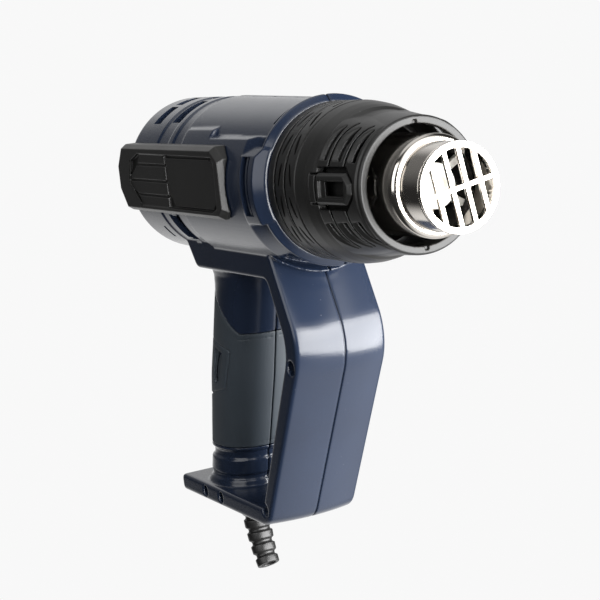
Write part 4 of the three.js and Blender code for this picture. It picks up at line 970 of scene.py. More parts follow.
@dataclass
class Housing(SubAssembly):
    """The two moulded halves of barrel, neck, hand guard, grip and base."""

    grip: Grip
    switch: SwitchPlace
    barrel_radius: float = 36.6
    wall: float = 3.2
    rear_round: float = 5.3
    rear_lip: float = 1.0
    rear_lip_depth: float = 2.3
    grooves: tuple[Span, ...] = (Span(32.0, 45.0), Span(50.0, 60.5))
    groove_depth: float = 0.6
    panel_radii: Span = Span(36.9, 34.9)
    flange: Span = Span(144.5, 149.0)
    flange_radius: float = 36.4
    flange_chamfer: float = 2.8
    slope: float = 0.8
    front_bore: float = 31.6
    front_bore_depth: float = 13.0
    side_radius: float = 37.9
    side_x: Triple = (63.5, 92.0, 131.5)
    side_tops: Pair = (45.2, 52.3)
    side_bottom: float = 143.0
    side_slope: Slope = Slope(4.0, 1.6)
    lug_radius: float = 38.4
    lug_angles: Span = Span(61.0, 112.0)
    lug_slope: Slope = Slope(7.0, 2.0)
    lug_bevel: float = 4.2
    recess: Span = Span(133.0, 140.5)
    recess_angles: Span = Span(68.0, 106.0)
    recess_depth: float = 2.6
    recess_rib: Span = Span(136.0, 137.5)
    rib_drop: float = 1.0
    vents: tuple[Vent, ...] = (
        Vent(19, 8, 23, 43),
        Vent(19, 8, 3, 20),
        Vent(39.5, 10, 11, 41),
        Vent(24, 2.5, 126, 138),
        Vent(45, 12, 114, 138),
    )
    slit: Vent = Vent(141.6, 4.0, 21, 41)
    half_width: float = 22.3
    edge_round: float = 1.4
    neck_top: Pair = (31.0, -29.6)
    neck_slope: float = 0.7
    guard_top: Pair = (119.0, -30.0)
    guard_knee: Pair = (138.8, -71.8)
    guard_foot_x: float = 87.0
    guard_crown: float = 4.0
    guard_thickness: Triple = (10.8, 12.0, 9.0)
    knee_round: float = 26.0
    neck_fillet: float = 5.0
    fillet_radius: float = 35.3
    fillet_passes: int = 12
    fillet_margin: float = 1.0
    foot_round: float = 13.0
    inner_round: float = 5.0
    base_rear: float = -11.0
    base_bottom: float = -159.7
    base_thickness: float = 8.2
    base_end_round: float = 2.6
    corner_steps: int = 12
    handle_steps: tuple[int, int] = (10, 5)
    cavity: tuple[float, ...] = (-18.0, -53.0, -90.0, -107.8)
    cavity_wall: float = 4.6
    channel_radius: float = 8.0
    cord_x: float = 25.6
    gland_radius: float = 5.7
    boss_radii: Span = Span(19.0, 9.5)
    boss_length: float = 6.3
    boss_root: float = 4.0
    boss_root_share: float = 0.6
    well_depth: float = 7.0
    shank_hole: float = 1.8
    shank_length: float = 17.0
    wells: tuple[Well, ...] = (
        Well("guard_screw", 128.6, -79.5, 3.3),
        Well("corner_screw", 85.0, -151.5, 3.1),
        Well("base_front_screw", 35.3, -155.4, 2.6),
        Well("base_rear_screw", 17.3, -155.4, 2.6),
    )
    parting: float = 0.3
    tongue_sunk: float = 0.7
    tongue_root: float = 0.6
    tongue_tip: float = 0.1
    moulding: Moulding = Moulding(grid=0.5, passes=6, keep=0.3)

    @property
    def bore(self) -> float:
        """Radius inside the barrel."""
        return self.barrel_radius - self.wall

    @property
    def rear_opening(self) -> float:
        """Radius of the opening in the rear face."""
        return self.barrel_radius - self.rear_round - self.rear_lip

    @property
    def inside_z(self) -> float:
        """Z inside the barrel's lower wall, up to which the forms below it reach."""
        return -self.bore + 2 * self.wall

    def crown(self, y: float) -> float:
        """How far the guard's front stands forward of its edges."""
        return self.guard_crown * (1 - (y / self.half_width) ** 2)

    def barrel(self) -> Mesh:
        """The turned outside of the barrel."""
        steps = 10
        turn = [math.pi / 2 * k / steps for k in range(steps + 1)]
        centre = self.barrel_radius - self.rear_round
        rear = [(self.rear_round * (1 - math.cos(a)), centre + self.rear_round * math.sin(a)) for a in turn]
        floor = self.barrel_radius - self.groove_depth
        grooves = [
            point
            for first, last in self.grooves
            for point in (
                (first, self.barrel_radius),
                (first + self.slope, floor),
                (last - self.slope, floor),
                (last, self.barrel_radius),
            )
        ]
        profile = [
            (0, 0),
            *rear,
            *grooves,
            (self.grooves[-1].last, self.panel_radii.first),
            (self.flange.first - self.slope, self.panel_radii.last),
            (self.flange.first, self.flange_radius),
            (self.flange.last - self.flange_chamfer, self.flange_radius),
            (self.flange.last, self.flange_radius - self.flange_chamfer),
            (self.flange.last, 0),
        ]
        return turned(profile)

    def barrel_sides(self) -> list[Mesh]:
        """The raised sides, whose sloped upper edge steps down once, the lugs and the ramps below them."""
        root = self.bore + self.wall / 4
        radii = Span(root, self.side_radius)
        sides = [
            side
            for top, first, last in zip(self.side_tops, self.side_x, self.side_x[1:])
            for side in sectors(Span(first, last), radii, Span(top, self.side_bottom), self.side_slope)
        ]
        rear, front = self.side_x[-1], self.flange.first - self.slope
        bevel = self.flange.last - self.lug_bevel
        bevelled = turned(
            [
                (rear, root),
                (rear, self.lug_radius),
                (bevel, self.lug_radius),
                (self.flange.last, self.lug_radius - self.lug_bevel),
                (self.flange.last, root),
            ]
        )
        lug_x, lug_radii = Span(rear, self.flange.last), Span(root, self.lug_radius)
        lugs = [common(lug, bevelled) for lug in sectors(lug_x, lug_radii, self.lug_angles, self.lug_slope)]
        edge = [(rear, self.side_radius), (front, self.panel_radii.last)]
        taper = turned([(rear, root), *edge, (front, root)])
        ramp_x, below = Span(rear - OVERLAP, front), Span(self.side_tops[-1], self.side_bottom)
        ramps = [common(side, taper) for side in sectors(ramp_x, radii, below, self.side_slope)]
        return [*sides, *lugs, *ramps]

    def fillet(self) -> Mesh:
        """The hollow fillet between the guard's front face and the barrel above it."""
        (top_x, top_z), (knee_x, knee_z) = self.guard_top, self.guard_knee
        down = Vector((knee_x - top_x, knee_z - top_z)).normalized()
        middle = (down + Vector((1, 0))).normalized()
        half_angle = down.angle(Vector((1, 0))) / 2
        centre = middle * (self.neck_fillet / math.sin(half_angle))
        along = self.neck_fillet / math.tan(half_angle)
        start, end = down * along - centre, Vector((along, 0)) - centre
        steps = 20
        bow = [centre + start.slerp(end, k / steps) for k in range(steps + 1)]
        rings = []
        flat = self.half_width - self.edge_round
        rows = 48
        for k in range(-rows, rows + 1):
            y = self.half_width * k / rows
            z = -math.sqrt(self.fillet_radius**2 - y * y)
            over = max(0.0, abs(y) - flat)
            inward = self.edge_round - math.sqrt(self.edge_round**2 - over * over)
            x = top_x + (knee_x - top_x) * (z - top_z) / (knee_z - top_z) + self.crown(y) - inward
            rings.append([Vector((x + p.x, y, z + p.y)) for p in (-middle, *bow)])
        return skin(rings)

    def in_fillet(self, point: Vector) -> bool:
        """Whether a point of the housing lies on the fillet or close to it."""
        away = math.hypot(point.y, point.z)
        near = self.guard_top[0] < point.x < self.flange.first - self.slope and point.z < 0
        inner = self.fillet_radius - self.fillet_margin
        outer = self.fillet_radius + 2 * self.neck_fillet
        beside = self.fillet_margin < abs(point.y) < self.half_width - 2 * self.edge_round
        return near and beside and inner < away < outer

    def barrel_bore(self) -> Mesh:
        """The space inside the barrel, open at both ends."""
        step = self.flange.last - self.front_bore_depth
        return turned(
            [
                (-PAST, 0),
                (-PAST, self.rear_opening),
                (self.rear_lip_depth, self.rear_opening),
                (self.rear_lip_depth, self.bore),
                (step, self.bore),
                (step, self.front_bore),
                (self.flange.last + PAST, self.front_bore),
                (self.flange.last + PAST, 0),
            ]
        )

    def openings(self) -> list[Mesh]:
        """The inlets, the slits behind the flange and the recesses in the lugs."""
        through = Span(self.bore - 2 * PAST, self.side_radius + 2 * PAST)
        inlets = [
            inlet
            for x, width, first, last in (*self.vents, self.slit)
            for inlet in sectors(centred(width, x), through, Span(first, last))
        ]
        deep, shallow = self.lug_radius - self.recess_depth, self.lug_radius - self.rib_drop
        (rear, front), (rib_rear, rib_front) = self.recess, self.recess_rib
        top = self.lug_radius + 2 * PAST
        floors = ((rear, front, shallow), (rear, rib_rear, deep), (rib_front, front, deep))
        recesses = [
            recess
            for first, last, floor in floors
            for recess in sectors(Span(first, last), Span(floor, top), self.recess_angles)
        ]
        return [*inlets, *recesses]

    def handle_outline(self, crown: float) -> list[Vector]:
        """Side view of neck, guard and base, with the front face moved forward by a crown."""
        top_x, top_z = self.guard_top
        knee_x, knee_z = self.guard_knee
        neck_x, neck_z = self.neck_top
        soffit = self.grip.soffit_z
        hidden = self.inside_z
        at_top, at_knee, at_foot = self.guard_thickness
        upper = (knee_x - top_x) / (knee_z - top_z)
        lower = (knee_x - self.guard_foot_x) / (knee_z - self.base_bottom)
        base_top = self.base_bottom + self.base_thickness
        foot_inside = self.guard_foot_x + lower * self.base_thickness - at_foot
        return rounded(
            [
                Corner(neck_x - self.neck_slope * (hidden - neck_z), hidden),
                Corner(neck_x - self.neck_slope * (soffit - neck_z), soffit, self.inner_round),
                Corner(top_x + upper * (soffit - top_z) - at_top, soffit, self.inner_round),
                Corner(knee_x - at_knee, knee_z, self.knee_round - at_knee / 2),
                Corner(foot_inside, base_top, self.inner_round),
                Corner(self.base_rear, base_top, self.base_end_round),
                Corner(self.base_rear, self.base_bottom, self.base_end_round),
                Corner(self.guard_foot_x + crown, self.base_bottom, self.foot_round),
                Corner(knee_x + crown, knee_z, self.knee_round),
                Corner(top_x + upper * (hidden - top_z) + crown, hidden),
            ],
            self.corner_steps,
        )

    def handle(self) -> Mesh:
        """The slab of neck, guard and base, with a crowned front and rounded edges."""
        flat = self.half_width - self.edge_round
        rows, bends = self.handle_steps
        stations = [(flat * k / rows, 0.0) for k in range(rows + 1)]
        for k in range(1, bends + 1):
            angle = math.pi / 2 * k / bends
            inward = self.edge_round * (1 - math.cos(angle))
            stations.append((flat + self.edge_round * math.sin(angle), inward))
        across = [(-y, inward) for y, inward in reversed(stations[1:])] + stations
        return side_loft([(inset(self.handle_outline(self.crown(y)), inward), y) for y, inward in across])

    def boss(self) -> Mesh:
        """The cord's boss under the base."""
        wide, narrow = self.boss_radii
        bottom = self.base_bottom - self.boss_length
        root = (self.base_bottom + self.boss_root, wide * self.boss_root_share)
        levels = [(bottom, narrow), (self.base_bottom + FIT, wide), root]
        return upright_loft([(circle(r, CORE_FACETS, self.cord_x), z) for z, r in levels])

    def upright(self, x: float, z: Span, radius: float) -> Mesh:
        """A round hole up and down."""
        return upright_loft([(circle(radius, HOLE_FACETS, x), level) for level in z])

    def handle_cuts(self) -> list[Mesh]:
        """The covers' place, the inner spaces, the switch's opening and the screws' wells."""
        grip = self.grip
        covers = cut(common(grip.loft(-PAST), grip.cover_zone(0, self.half_width)), grip.loft(grip.cover))
        cavity_top = grip.soffit_z + self.cavity[0] - self.channel_radius
        channel_x = grip.centre(cavity_top - grip.soffit_z)
        channel = self.upright(channel_x, Span(cavity_top, self.inside_z), self.channel_radius)
        floor = grip.soffit_z + self.cavity[-1]
        gland = self.upright(
            self.cord_x,
            Span(self.base_bottom - self.boss_length - PAST, floor + PAST),
            self.gland_radius,
        )
        seat = -self.half_width + self.well_depth
        wells = [cross_bar(w.x, w.z, Span(-REACH, seat), w.radius) for w in self.wells]
        shanks = [
            cross_bar(w.x, w.z, Span(-self.half_width, seat + self.shank_length), self.shank_hole)
            for w in self.wells
        ]
        cavity = grip.loft(self.cavity_wall, self.cavity)
        return [covers, cavity, channel, gland, *self.switch.opening(), *wells, *shanks]

    def tongue(self, whole: Mesh) -> Mesh:
        """The thin rib along the right half's parting, sunk below the surface, that closes the joint."""
        shrink = ("DISPLACE", {"strength": -self.tongue_sunk, "mid_level": 0.0})
        shrunk = worked(whole, [self.moulding.remesh, shrink, self.moulding.remesh])
        return common(shrunk, block(EVERYWHERE, Span(-self.tongue_root, self.tongue_tip), EVERYWHERE))

    def build(self) -> list[Piece]:
        """Both halves."""
        barrel = [self.barrel(), *self.barrel_sides()]
        whole = joined(*barrel, self.handle(), self.fillet(), self.grip.loft(), self.boss())
        whole = cut(whole, self.barrel_bore(), *self.handle_cuts())
        pieces = []
        for side in Side:
            half = half_of(whole, side, self.parting)
            node = f"{side.name.lower()}_housing"
            shell = eased(self.moulding.soften(half), self.in_fillet, self.fillet_passes)
            shell = cut(shell, *self.openings())
            if side is Side.RIGHT:
                shell = joined(shell, self.tongue(whole))
            pieces.append(Piece(f"{node}_shell", shell, Body.HOUSING, NAVY_SHELL, (node,)))
        return pieces


@dataclass
class GripCovers(SubAssembly):
    """The slate rubber over the grip, with lines sunk along its border and round the switch's hollow."""

    housing: Housing
    border: Span = Span(2.4, 3.1)
    border_depth: float = 0.5
    surround: tuple[Corner, ...] = path(
        (57.2, -80.6, 2.0), (47.6, -101.0, 2.6), (0.0, -112.0), (0.0, -67.6),
    )
    surround_line: float = 1.0
    surround_depth: float = 0.7
    hollow: tuple[Corner, ...] = path(
        (49.6, -82.7, 1.0), (42.4, -97.4, 1.0), (36.6, -98.8, 1.0), (41.2, -80.6, 1.0),
    )
    hollow_depth: float = 1.4
    moulding: Moulding = Moulding(grid=0.4, passes=3, keep=0.2)

    def build(self) -> list[Piece]:
        """Both covers."""
        grip, width = self.housing.grip, self.housing.half_width
        shell = cut(common(grip.loft(), grip.cover_zone(FIT, width)), grip.loft(grip.cover - FIT))
        inside = grip.cover_zone(self.border.last, width + PAST)
        line = cut(grip.cover_zone(self.border.first, width), inside)
        rim = rounded(self.surround)
        inside = side_prism(inset(rim, self.surround_line), -2 * REACH, 2 * REACH)
        ring = cut(side_prism(rim, *EVERYWHERE), inside)
        hollow = side_prism(rounded(self.hollow), *EVERYWHERE)
        depths = (self.border_depth, self.surround_depth, self.hollow_depth)
        lines = [
            cut(common(form, grip.loft(-PAST)), grip.loft(depth))
            for form, depth in zip((line, ring, hollow), depths)
        ]
        shell = cut(shell, *lines, *self.housing.switch.opening())
        pieces = []
        for side in Side:
            rubber = self.moulding.soften(half_of(shell, side, self.housing.parting))
            node = f"{side.name.lower()}_grip_cover"
            pieces.append(Piece(f"{node}_rubber", rubber, Body.HOUSING, SLATE_RUBBER, (node,)))
        return pieces


@dataclass
class SidePads(SubAssembly):
    """The black bevelled pads on the barrel's sides, each with a sunk field, bars and a bare plate."""

    housing: Housing
    outer_y: float = 41.2
    outline: tuple[Corner, ...] = path(
        (8.5, 18.8), (112.0, 18.8), (118.5, 13.5), (118.5, -9.5), (114.5, -12.9), (9.0, -12.9),
        (2.2, -3.0), (2.2, 9.0),
    )
    side_bevel: float = 1.9
    end_bevel: float = 0.8
    bevel_depth: float = 3.0
    field: tuple[Corner, ...] = path(
        (28.7, 15.4), (18.6, 11.7), (15.0, 0.5), (28.0, -10.2), (108.6, -10.2), (113.4, -8.1),
        (114.7, 11.3), (112.6, 14.7),
    )
    field_depth: float = 1.8
    field_slope: float = 0.5
    bars: tuple[Corner, ...] = path(
        (59.5, 14.6), (31.0, 14.6), (26.5, 9.6), (15.7, 3.1), (15.7, -0.5), (24.5, -4.3),
        (28.0, -9.6), (59.5, -9.6),
    )
    bar_gaps: tuple[float, ...] = (9.7, 2.2, -4.6)
    bar_gap_width: Span = Span(0.5, 1.7)
    bar_drop: float = 0.5
    plate: tuple[Corner, ...] = path(
        (60.8, 13.2, 0.6), (60.8, -2.0, 0.6), (67.0, -8.7, 0.6), (108.5, -8.7, 0.6),
        (112.4, -5.0, 0.6), (112.8, 8.6, 0.6), (108.4, 13.2, 0.6),
    )
    plate_rise: float = 0.9
    plate_steps: int = 4
    moulding: Moulding = Moulding(grid=0.3, passes=3, keep=0.3)

    def face(self) -> list[Vector]:
        """The outer face, drawn in by the bevel, which is wider along the sides than at the ends."""
        xs, zs = [p.x for p in self.outline], [p.z for p in self.outline]
        middle = Vector((min(xs) + max(xs), min(zs) + max(zs))) / 2
        across = 1 - 2 * self.end_bevel / (max(xs) - min(xs))
        up = 1 - 2 * self.side_bevel / (max(zs) - min(zs))
        return [
            Vector((middle.x + (x - middle.x) * across, middle.y + (z - middle.y) * up))
            for x, z, _ in self.outline
        ]

    def build(self) -> list[Piece]:
        """The right pad and its mirror image."""
        outline = [Vector(corner[:2]) for corner in self.outline]
        levels = ((outline, 0.0), (outline, self.outer_y - self.bevel_depth), (self.face(), self.outer_y))
        body = side_loft([(ring, -y) for ring, y in levels])
        floor_y = self.outer_y - self.field_depth
        opening = [Vector(corner[:2]) for corner in self.field]
        ends = ((self.field_slope, floor_y), (-self.field_slope, self.outer_y + PAST))
        sunk = side_loft([(inset(opening, inward), -y) for inward, y in ends])
        plate = rounded(self.plate, self.plate_steps)
        plate = side_prism(plate, -floor_y - self.plate_rise, -floor_y + PAST)
        pad = joined(cut(body, sunk), self.ribbed(floor_y), plate)
        seat = disc(*EVERYWHERE, self.housing.side_radius + FIT)
        pad = self.moulding.soften(cut(pad, seat))
        right = Piece("right_side_pad_moulding", pad, Body.HOUSING, CHARCOAL, ("right_side_pad",))
        left = Piece("left_side_pad_moulding", mirrored(pad), Body.HOUSING, CHARCOAL, ("left_side_pad",))
        return [right, left]

    def ribbed(self, floor_y: float) -> Mesh:
        """The bars in the rear of the field, parted by tapered gaps."""
        whole = side_prism(self.bars, -self.outer_y + self.bar_drop, -floor_y + PAST)
        top_y = self.outer_y + PAST
        narrow, wide = (width / 2 for width in self.bar_gap_width)
        gaps = [
            long_prism(
                [(-floor_y, z - narrow), (-floor_y, z + narrow), (-top_y, z + wide), (-top_y, z - wide)],
                *EVERYWHERE,
            )
            for z in self.bar_gaps
        ]
        return cut(whole, *gaps)


@dataclass
class FrontCollar(SubAssembly):
    """The black ring in front of the barrel, with grooves and an engraved tread."""

    housing: Housing
    x: Span = Span(149.3, 173.4)
    radius: float = 33.4
    bore: float = 27.6
    grooves: tuple[float, ...] = (6.0, 15.0)
    groove_width: float = 1.7
    groove_depth: float = 2.2
    spigot_radius: float = 29.4
    spigot_length: float = 7.0
    spigot_bore: float = 25.6
    nozzle_flange_front: float = 140.9
    tread_rows: tuple[float, ...] = (10.5, 19.6)
    tread_tilts: tuple[float, ...] = (-11.0, 15.0)
    tread_count: int = 16
    tread_start: float = 78.0
    tread_length: float = 10.0
    tread_width: float = 2.0
    tread_depth: float = 1.7
    edge_round: float = 0.6
    moulding: Moulding = Moulding(grid=0.33, passes=3, keep=0.2)

    def build(self) -> list[Piece]:
        """The collar."""
        plug_rear = self.housing.flange.last - self.housing.front_bore_depth + FIT
        plug = self.housing.front_bore - FIT
        half = self.groove_width / 2
        grooves = [
            point
            for offset in self.grooves
            for point in (
                (self.x.first + offset - half, self.radius),
                (self.x.first + offset - half, self.radius - self.groove_depth),
                (self.x.first + offset + half, self.radius - self.groove_depth),
                (self.x.first + offset + half, self.radius),
            )
        ]
        body = turned(
            [
                (plug_rear, self.bore),
                (plug_rear, plug),
                (self.x.first, plug),
                (self.x.first, self.radius - self.edge_round),
                (self.x.first + self.edge_round, self.radius),
                *grooves,
                (self.x.last - self.edge_round, self.radius),
                (self.x.last, self.radius - self.edge_round),
                (self.x.last, self.spigot_radius),
                (self.x.last + self.spigot_length, self.spigot_radius),
                (self.x.last + self.spigot_length, self.spigot_bore),
                (self.nozzle_flange_front, self.spigot_bore),
                (self.nozzle_flange_front, self.bore),
            ]
        )
        mesh = cut(self.moulding.soften(body), *self.tread())
        return [Piece("front_collar_moulding", mesh, Body.HOUSING, CHARCOAL, ("front_collar",))]

    def tread(self) -> list[Mesh]:
        """Leaf-shaped cuts in two rows, tilted one way in the first and the other way in the second."""
        half, length, steps = self.tread_width / 2, self.tread_length / 2, 5
        turns = [math.pi * k / steps for k in range(steps)]
        edge = [(half * math.sin(turn), -length * math.cos(turn)) for turn in turns]
        leaf = [*edge, *((-x, -y) for x, y in edge)]
        levels = (self.radius - self.tread_depth, self.radius + PAST)
        made = []
        for offset, tilt in zip(self.tread_rows, self.tread_tilts):
            ring = [Matrix.Rotation(math.radians(tilt), 2) @ Vector(point) for point in leaf]
            out = Matrix.Translation((self.x.first + offset, 0, 0))
            for k in range(self.tread_count):
                around = math.radians(self.tread_start) + 2 * math.pi * k / self.tread_count
                dash = upright_loft([(ring, z) for z in levels])
                dash.transform(Matrix.Rotation(around, 4, "X") @ out)
                made.append(dash)
        return made


@dataclass
class ClipPlan:
    """Side view of the release clip, which the nose guard leaves room for."""

    x: Span = Span(187.8, 210.6)
    centre_z: float = 1.9
    width: float = 12.4
    corner: float = 4.0
    end_gap: float = 0.7
    side_gap: float = 2.2
    tab_length: float = 4.0
    tab_width: float = 11.0

    def outline(self, end_gap: float, side_gap: float) -> list[Pair]:
        """The clip's outline, wider by gaps, with its front corners cut off."""
        half = self.width / 2 + side_gap
        low, high = self.centre_z - half, self.centre_z + half
        rear, front = self.x.first - end_gap, self.x.last + end_gap
        c = self.corner + side_gap / 2
        return [
            (rear, low),
            (front - c, low),
            (front, low + c),
            (front, high - c),
            (front - c, high),
            (rear, high),
        ]

    def tab(self, gap: float) -> Mesh:
        """The tab behind the clip."""
        half = self.tab_width / 2 + gap
        z = Span(self.centre_z - half, self.centre_z + half)
        return block(Span(self.x.first - self.tab_length - gap, self.x.first + PAST), ON_THE_RIGHT, z)


@dataclass
class NoseGuard(SubAssembly):
    """The black slotted guard round the nozzle, and its release clip."""

    collar: FrontCollar
    plan: ClipPlan = field(default_factory=ClipPlan)
    x: Span = Span(173.7, 215.7)
    shoulder: tuple[Pair, ...] = (
        (0, 33.3), (6.3, 32.6), (11, 31.6), (14.4, 30.6), (16.4, 29.3), (22, 28.4),
    )
    front_radius: float = 27.2
    bore: float = 23.8
    rim_length: float = 3.6
    wall: float = 0.9
    throat: float = 27.5
    rim_round: float = 0.7
    panel_x: Span = Span(187.3, 213.2)
    panel_radii: Span = Span(31.2, 27.9)
    panel_angles: Span = Span(6.0, 170.0)
    panel_fade: Slope = Slope(30.0, 2.2)
    scoops: tuple[Span, ...] = (Span(187.2, 192.8), Span(195.8, 202.4), Span(206.0, 211.4))
    scoop_angles: tuple[Span, ...] = (Span(65.0, 34.0), Span(113.0, 140.0))
    scoop_leans: tuple[float, ...] = (0.5, 4.0)
    scoop_tip: float = 1.5
    scoop_fade: float = 0.55
    scoop_slope: Span = Span(0.3, 0.17)
    slot_depth: float = 2.6
    liner_angles: Span = Span(24.0, 156.0)
    liner_sunk: float = 2.9
    liner_outer: float = 40.0
    lines: tuple[float, ...] = (195.1, 205.3)
    line_width: float = 1.2
    line_bends: tuple[Triple, ...] = ((50.0, 30.0, 3.6), (116.0, 140.0, 4.0))
    line_lean: float = 1.6
    line_angles: Span = Span(29.0, 139.0)
    notch_width: float = 1.8
    notch_depth: float = 1.2
    notch_inner: float = 0.9
    notch_outer: float = 1.6
    back_sunk: float = 4.7
    back_margin: float = 1.2
    clip_proud: float = 1.0
    clip_bevel: float = 1.1
    clip_sunk: float = 2.6
    tab_proud: float = 0.7
    window_x: Span = Span(190.2, 207.2)
    window_width: float = 7.0
    window_depth: float = 1.4
    pit_x: Span = Span(195.6, 205.4)
    pit_width: float = 5.6
    pit_lean: float = 4.5
    seam_width: float = 1.2
    seam_depth: float = 2.0
    moulding: Moulding = Moulding(grid=0.3, passes=3, keep=0.35)
    clip_moulding: Moulding = Moulding(grid=0.22, passes=3, keep=0.3)

    def panel_radius(self, x: float) -> float:
        """Radius of the side panels, which taper straight."""
        share = (x - self.panel_x.first) / (self.panel_x.last - self.panel_x.first)
        return self.panel_radii.first + (self.panel_radii.last - self.panel_radii.first) * share

    def panel_shell(self, proud: float, sunk: float) -> Mesh:
        """A tapered shell from above the panels' surface to below it."""
        outer = [(x, self.panel_radius(x) + proud) for x in self.x]
        inner = [(x, self.panel_radius(x) - sunk) for x in reversed(self.x)]
        return turned([*outer, *inner])

    def scoop(self, x: Span, angles: Span, lean: float) -> Mesh:
        """A slot through a panel behind a slope, blunt at its first end and drawn out to a tip at its last.

        Args:
            x: The rear edge of the slope and the front edge of the slot.
            angles: From the blunt end to the tip.
            lean: How far forward the tip lies.

        Returns:
            The mesh.
        """
        steps = 20
        rings = []
        for k in range(steps + 1):
            share = k / steps
            fading = max(0.0, (share - 1 + self.scoop_fade) / self.scoop_fade) ** 2
            shift = lean * share * share
            front = x.last + shift
            rear = x.first + shift + (x.last - x.first - self.scoop_tip) * fading
            run, fall = ((front - rear) * share_of for share_of in self.scoop_slope)
            section = (
                (rear - PAST, PAST),
                (front, PAST),
                (front, -self.slot_depth),
                (rear + run, -self.slot_depth),
                (rear + run, -fall),
                (rear, 0.0),
            )
            rings.append(self.across(section, angles.first + (angles.last - angles.first) * share))
        return skin(rings)

    def panel(self) -> Mesh:
        """The right side panel, which runs out into the guard above and below."""
        turn, drop = self.panel_fade
        steps = 66
        rings = []
        for k in range(steps + 1):
            angle = self.panel_angles.first + (self.panel_angles.last - self.panel_angles.first) * k / steps
            inside = min(angle - self.panel_angles.first, self.panel_angles.last - angle) / turn
            share = max(0.0, 1 - inside)
            top = -drop * share * share * (3 - 2 * share)
            low = top - 2 * self.wall
            first, last = self.panel_x
            section = ((first, top), (last, top), (last, low), (first, low))
            rings.append(self.across(section, angle))
        return skin(rings)

    def line(self, x: float, angles: Span) -> Mesh:
        """A thin slit through a panel, which leans back as it goes in and bends forward at its ends."""
        steps = 40
        half, lean = self.line_width / 2, self.line_lean
        depth = self.slot_depth
        rings = []
        for k in range(steps + 1):
            angle = angles.first + (angles.last - angles.first) * k / steps
            bends = [
                (max(0.0, (angle - start) / (end - start)), shift)
                for start, end, shift in self.line_bends
            ]
            at = x + sum(shift * share * share for share, shift in bends)
            rear, front = at - half, at + half
            section = ((rear, PAST), (front, PAST), (front - lean, -depth), (rear - lean, -depth))
            rings.append(self.across(section, angle))
        return skin(rings)

    def across(self, section: Points, angle: float) -> list[Vector]:
        """Points given as X and height over a panel, at one angle round the axis."""
        return [Vector((x, *polar(self.panel_radius(x) + rise, angle))) for x, rise in section]

    def guard(self) -> Mesh:
        """The guard with its panels, scoops, lines, notches and the clip's pocket."""
        spigot = self.collar.spigot_radius + FIT
        spigot_end = self.collar.x.last + self.collar.spigot_length + PAST
        rim_rear = self.x.last - self.rim_length
        shoulder_end, shoulder_radius = self.shoulder[-1]
        cone = turned(
            [
                (self.x.first, spigot),
                *((self.x.first + offset, radius) for offset, radius in self.shoulder),
                (self.x.last - self.rim_round, self.front_radius),
                (self.x.last, self.front_radius - self.rim_round),
                (self.x.last, self.bore),
                (rim_rear, self.bore),
                (rim_rear, self.front_radius - self.wall),
                (self.x.first + shoulder_end, shoulder_radius - self.wall),
                (spigot_end, self.throat),
                (spigot_end, spigot),
            ]
        )
        panels = [self.panel(), mirrored(self.panel())]
        ends = list(zip(self.scoop_angles, self.scoop_leans))
        right = [self.scoop(x, angles, lean) for x in self.scoops for angles, lean in ends]
        right += [self.line(x, self.line_angles) for x in self.lines]
        slots = [*right, *(mirrored(scoop) for scoop in right)]
        pocket = side_prism(self.plan.outline(self.plan.end_gap, self.plan.side_gap), *ON_THE_RIGHT)
        notch_x = Span(self.x.last - self.notch_depth, self.x.last + PAST)
        notches = []
        for sign in (1, -1):
            z = sorted((sign * self.bore * self.notch_inner, sign * (self.bore + self.notch_outer)))
            notches.append(block(notch_x, centred(self.notch_width), Span(*z)))
        guard = cut(joined(cone, *panels), *slots)
        liner_x = Span(self.panel_x.first, rim_rear + OVERLAP)
        behind = sector(liner_x, Span(self.bore, self.liner_outer), self.liner_angles)
        liner = common(behind, self.panel_shell(-self.liner_sunk, self.liner_sunk + self.wall))
        guard = cut(joined(guard, liner), pocket, self.plan.tab(self.plan.end_gap), *notches)
        margin = self.back_margin
        back = side_prism(self.plan.outline(margin, self.plan.side_gap + margin), *ON_THE_RIGHT)
        return joined(guard, common(back, self.panel_shell(-self.back_sunk, self.back_sunk + margin)))

    def clip(self) -> Mesh:
        """The U-shaped clip with its sunk window, and its tab behind a seam."""
        steps = 4
        levels = [
            common(
                side_prism(self.plan.outline(-inward, -inward), *ON_THE_RIGHT),
                self.panel_shell(self.clip_proud - self.clip_bevel + inward, self.clip_sunk),
            )
            for inward in (self.clip_bevel * k / steps for k in range(steps + 1))
        ]
        face = joined(*levels)
        tab = common(self.plan.tab(0), self.panel_shell(self.tab_proud, self.clip_sunk))
        rise = self.clip_proud + PAST
        window = block(self.window_x, ON_THE_RIGHT, centred(self.window_width, self.plan.centre_z))
        sunk = common(window, self.panel_shell(rise, self.window_depth - self.clip_proud))
        lean = self.pit_lean * (rise + self.clip_sunk + PAST) / (self.clip_proud + self.clip_sunk)
        top, (first, last) = -self.panel_radius(self.pit_x.first) - rise, self.pit_x
        section = [(first, top), (last, top), (last, top + lean), (first - lean, top + lean)]
        pit = upright_loft([(section, z) for z in centred(self.pit_width, self.plan.centre_z)])
        seam = common(
            block(centred(self.seam_width, self.plan.x.first), ON_THE_RIGHT, EVERYWHERE),
            self.panel_shell(rise, self.seam_depth - self.clip_proud),
        )
        return cut(joined(face, tab), sunk, pit, seam)

    def build(self) -> list[Piece]:
        """The guard and the clip."""
        guard = self.moulding.soften(self.guard())
        clip = self.clip_moulding.soften(self.clip())
        return [
            Piece("nose_guard_moulding", guard, Body.NOSE, CHARCOAL, ("nose_guard",)),
            Piece("release_clip_moulding", clip, Body.CLIP, CHARCOAL, ("release_clip",)),
        ]


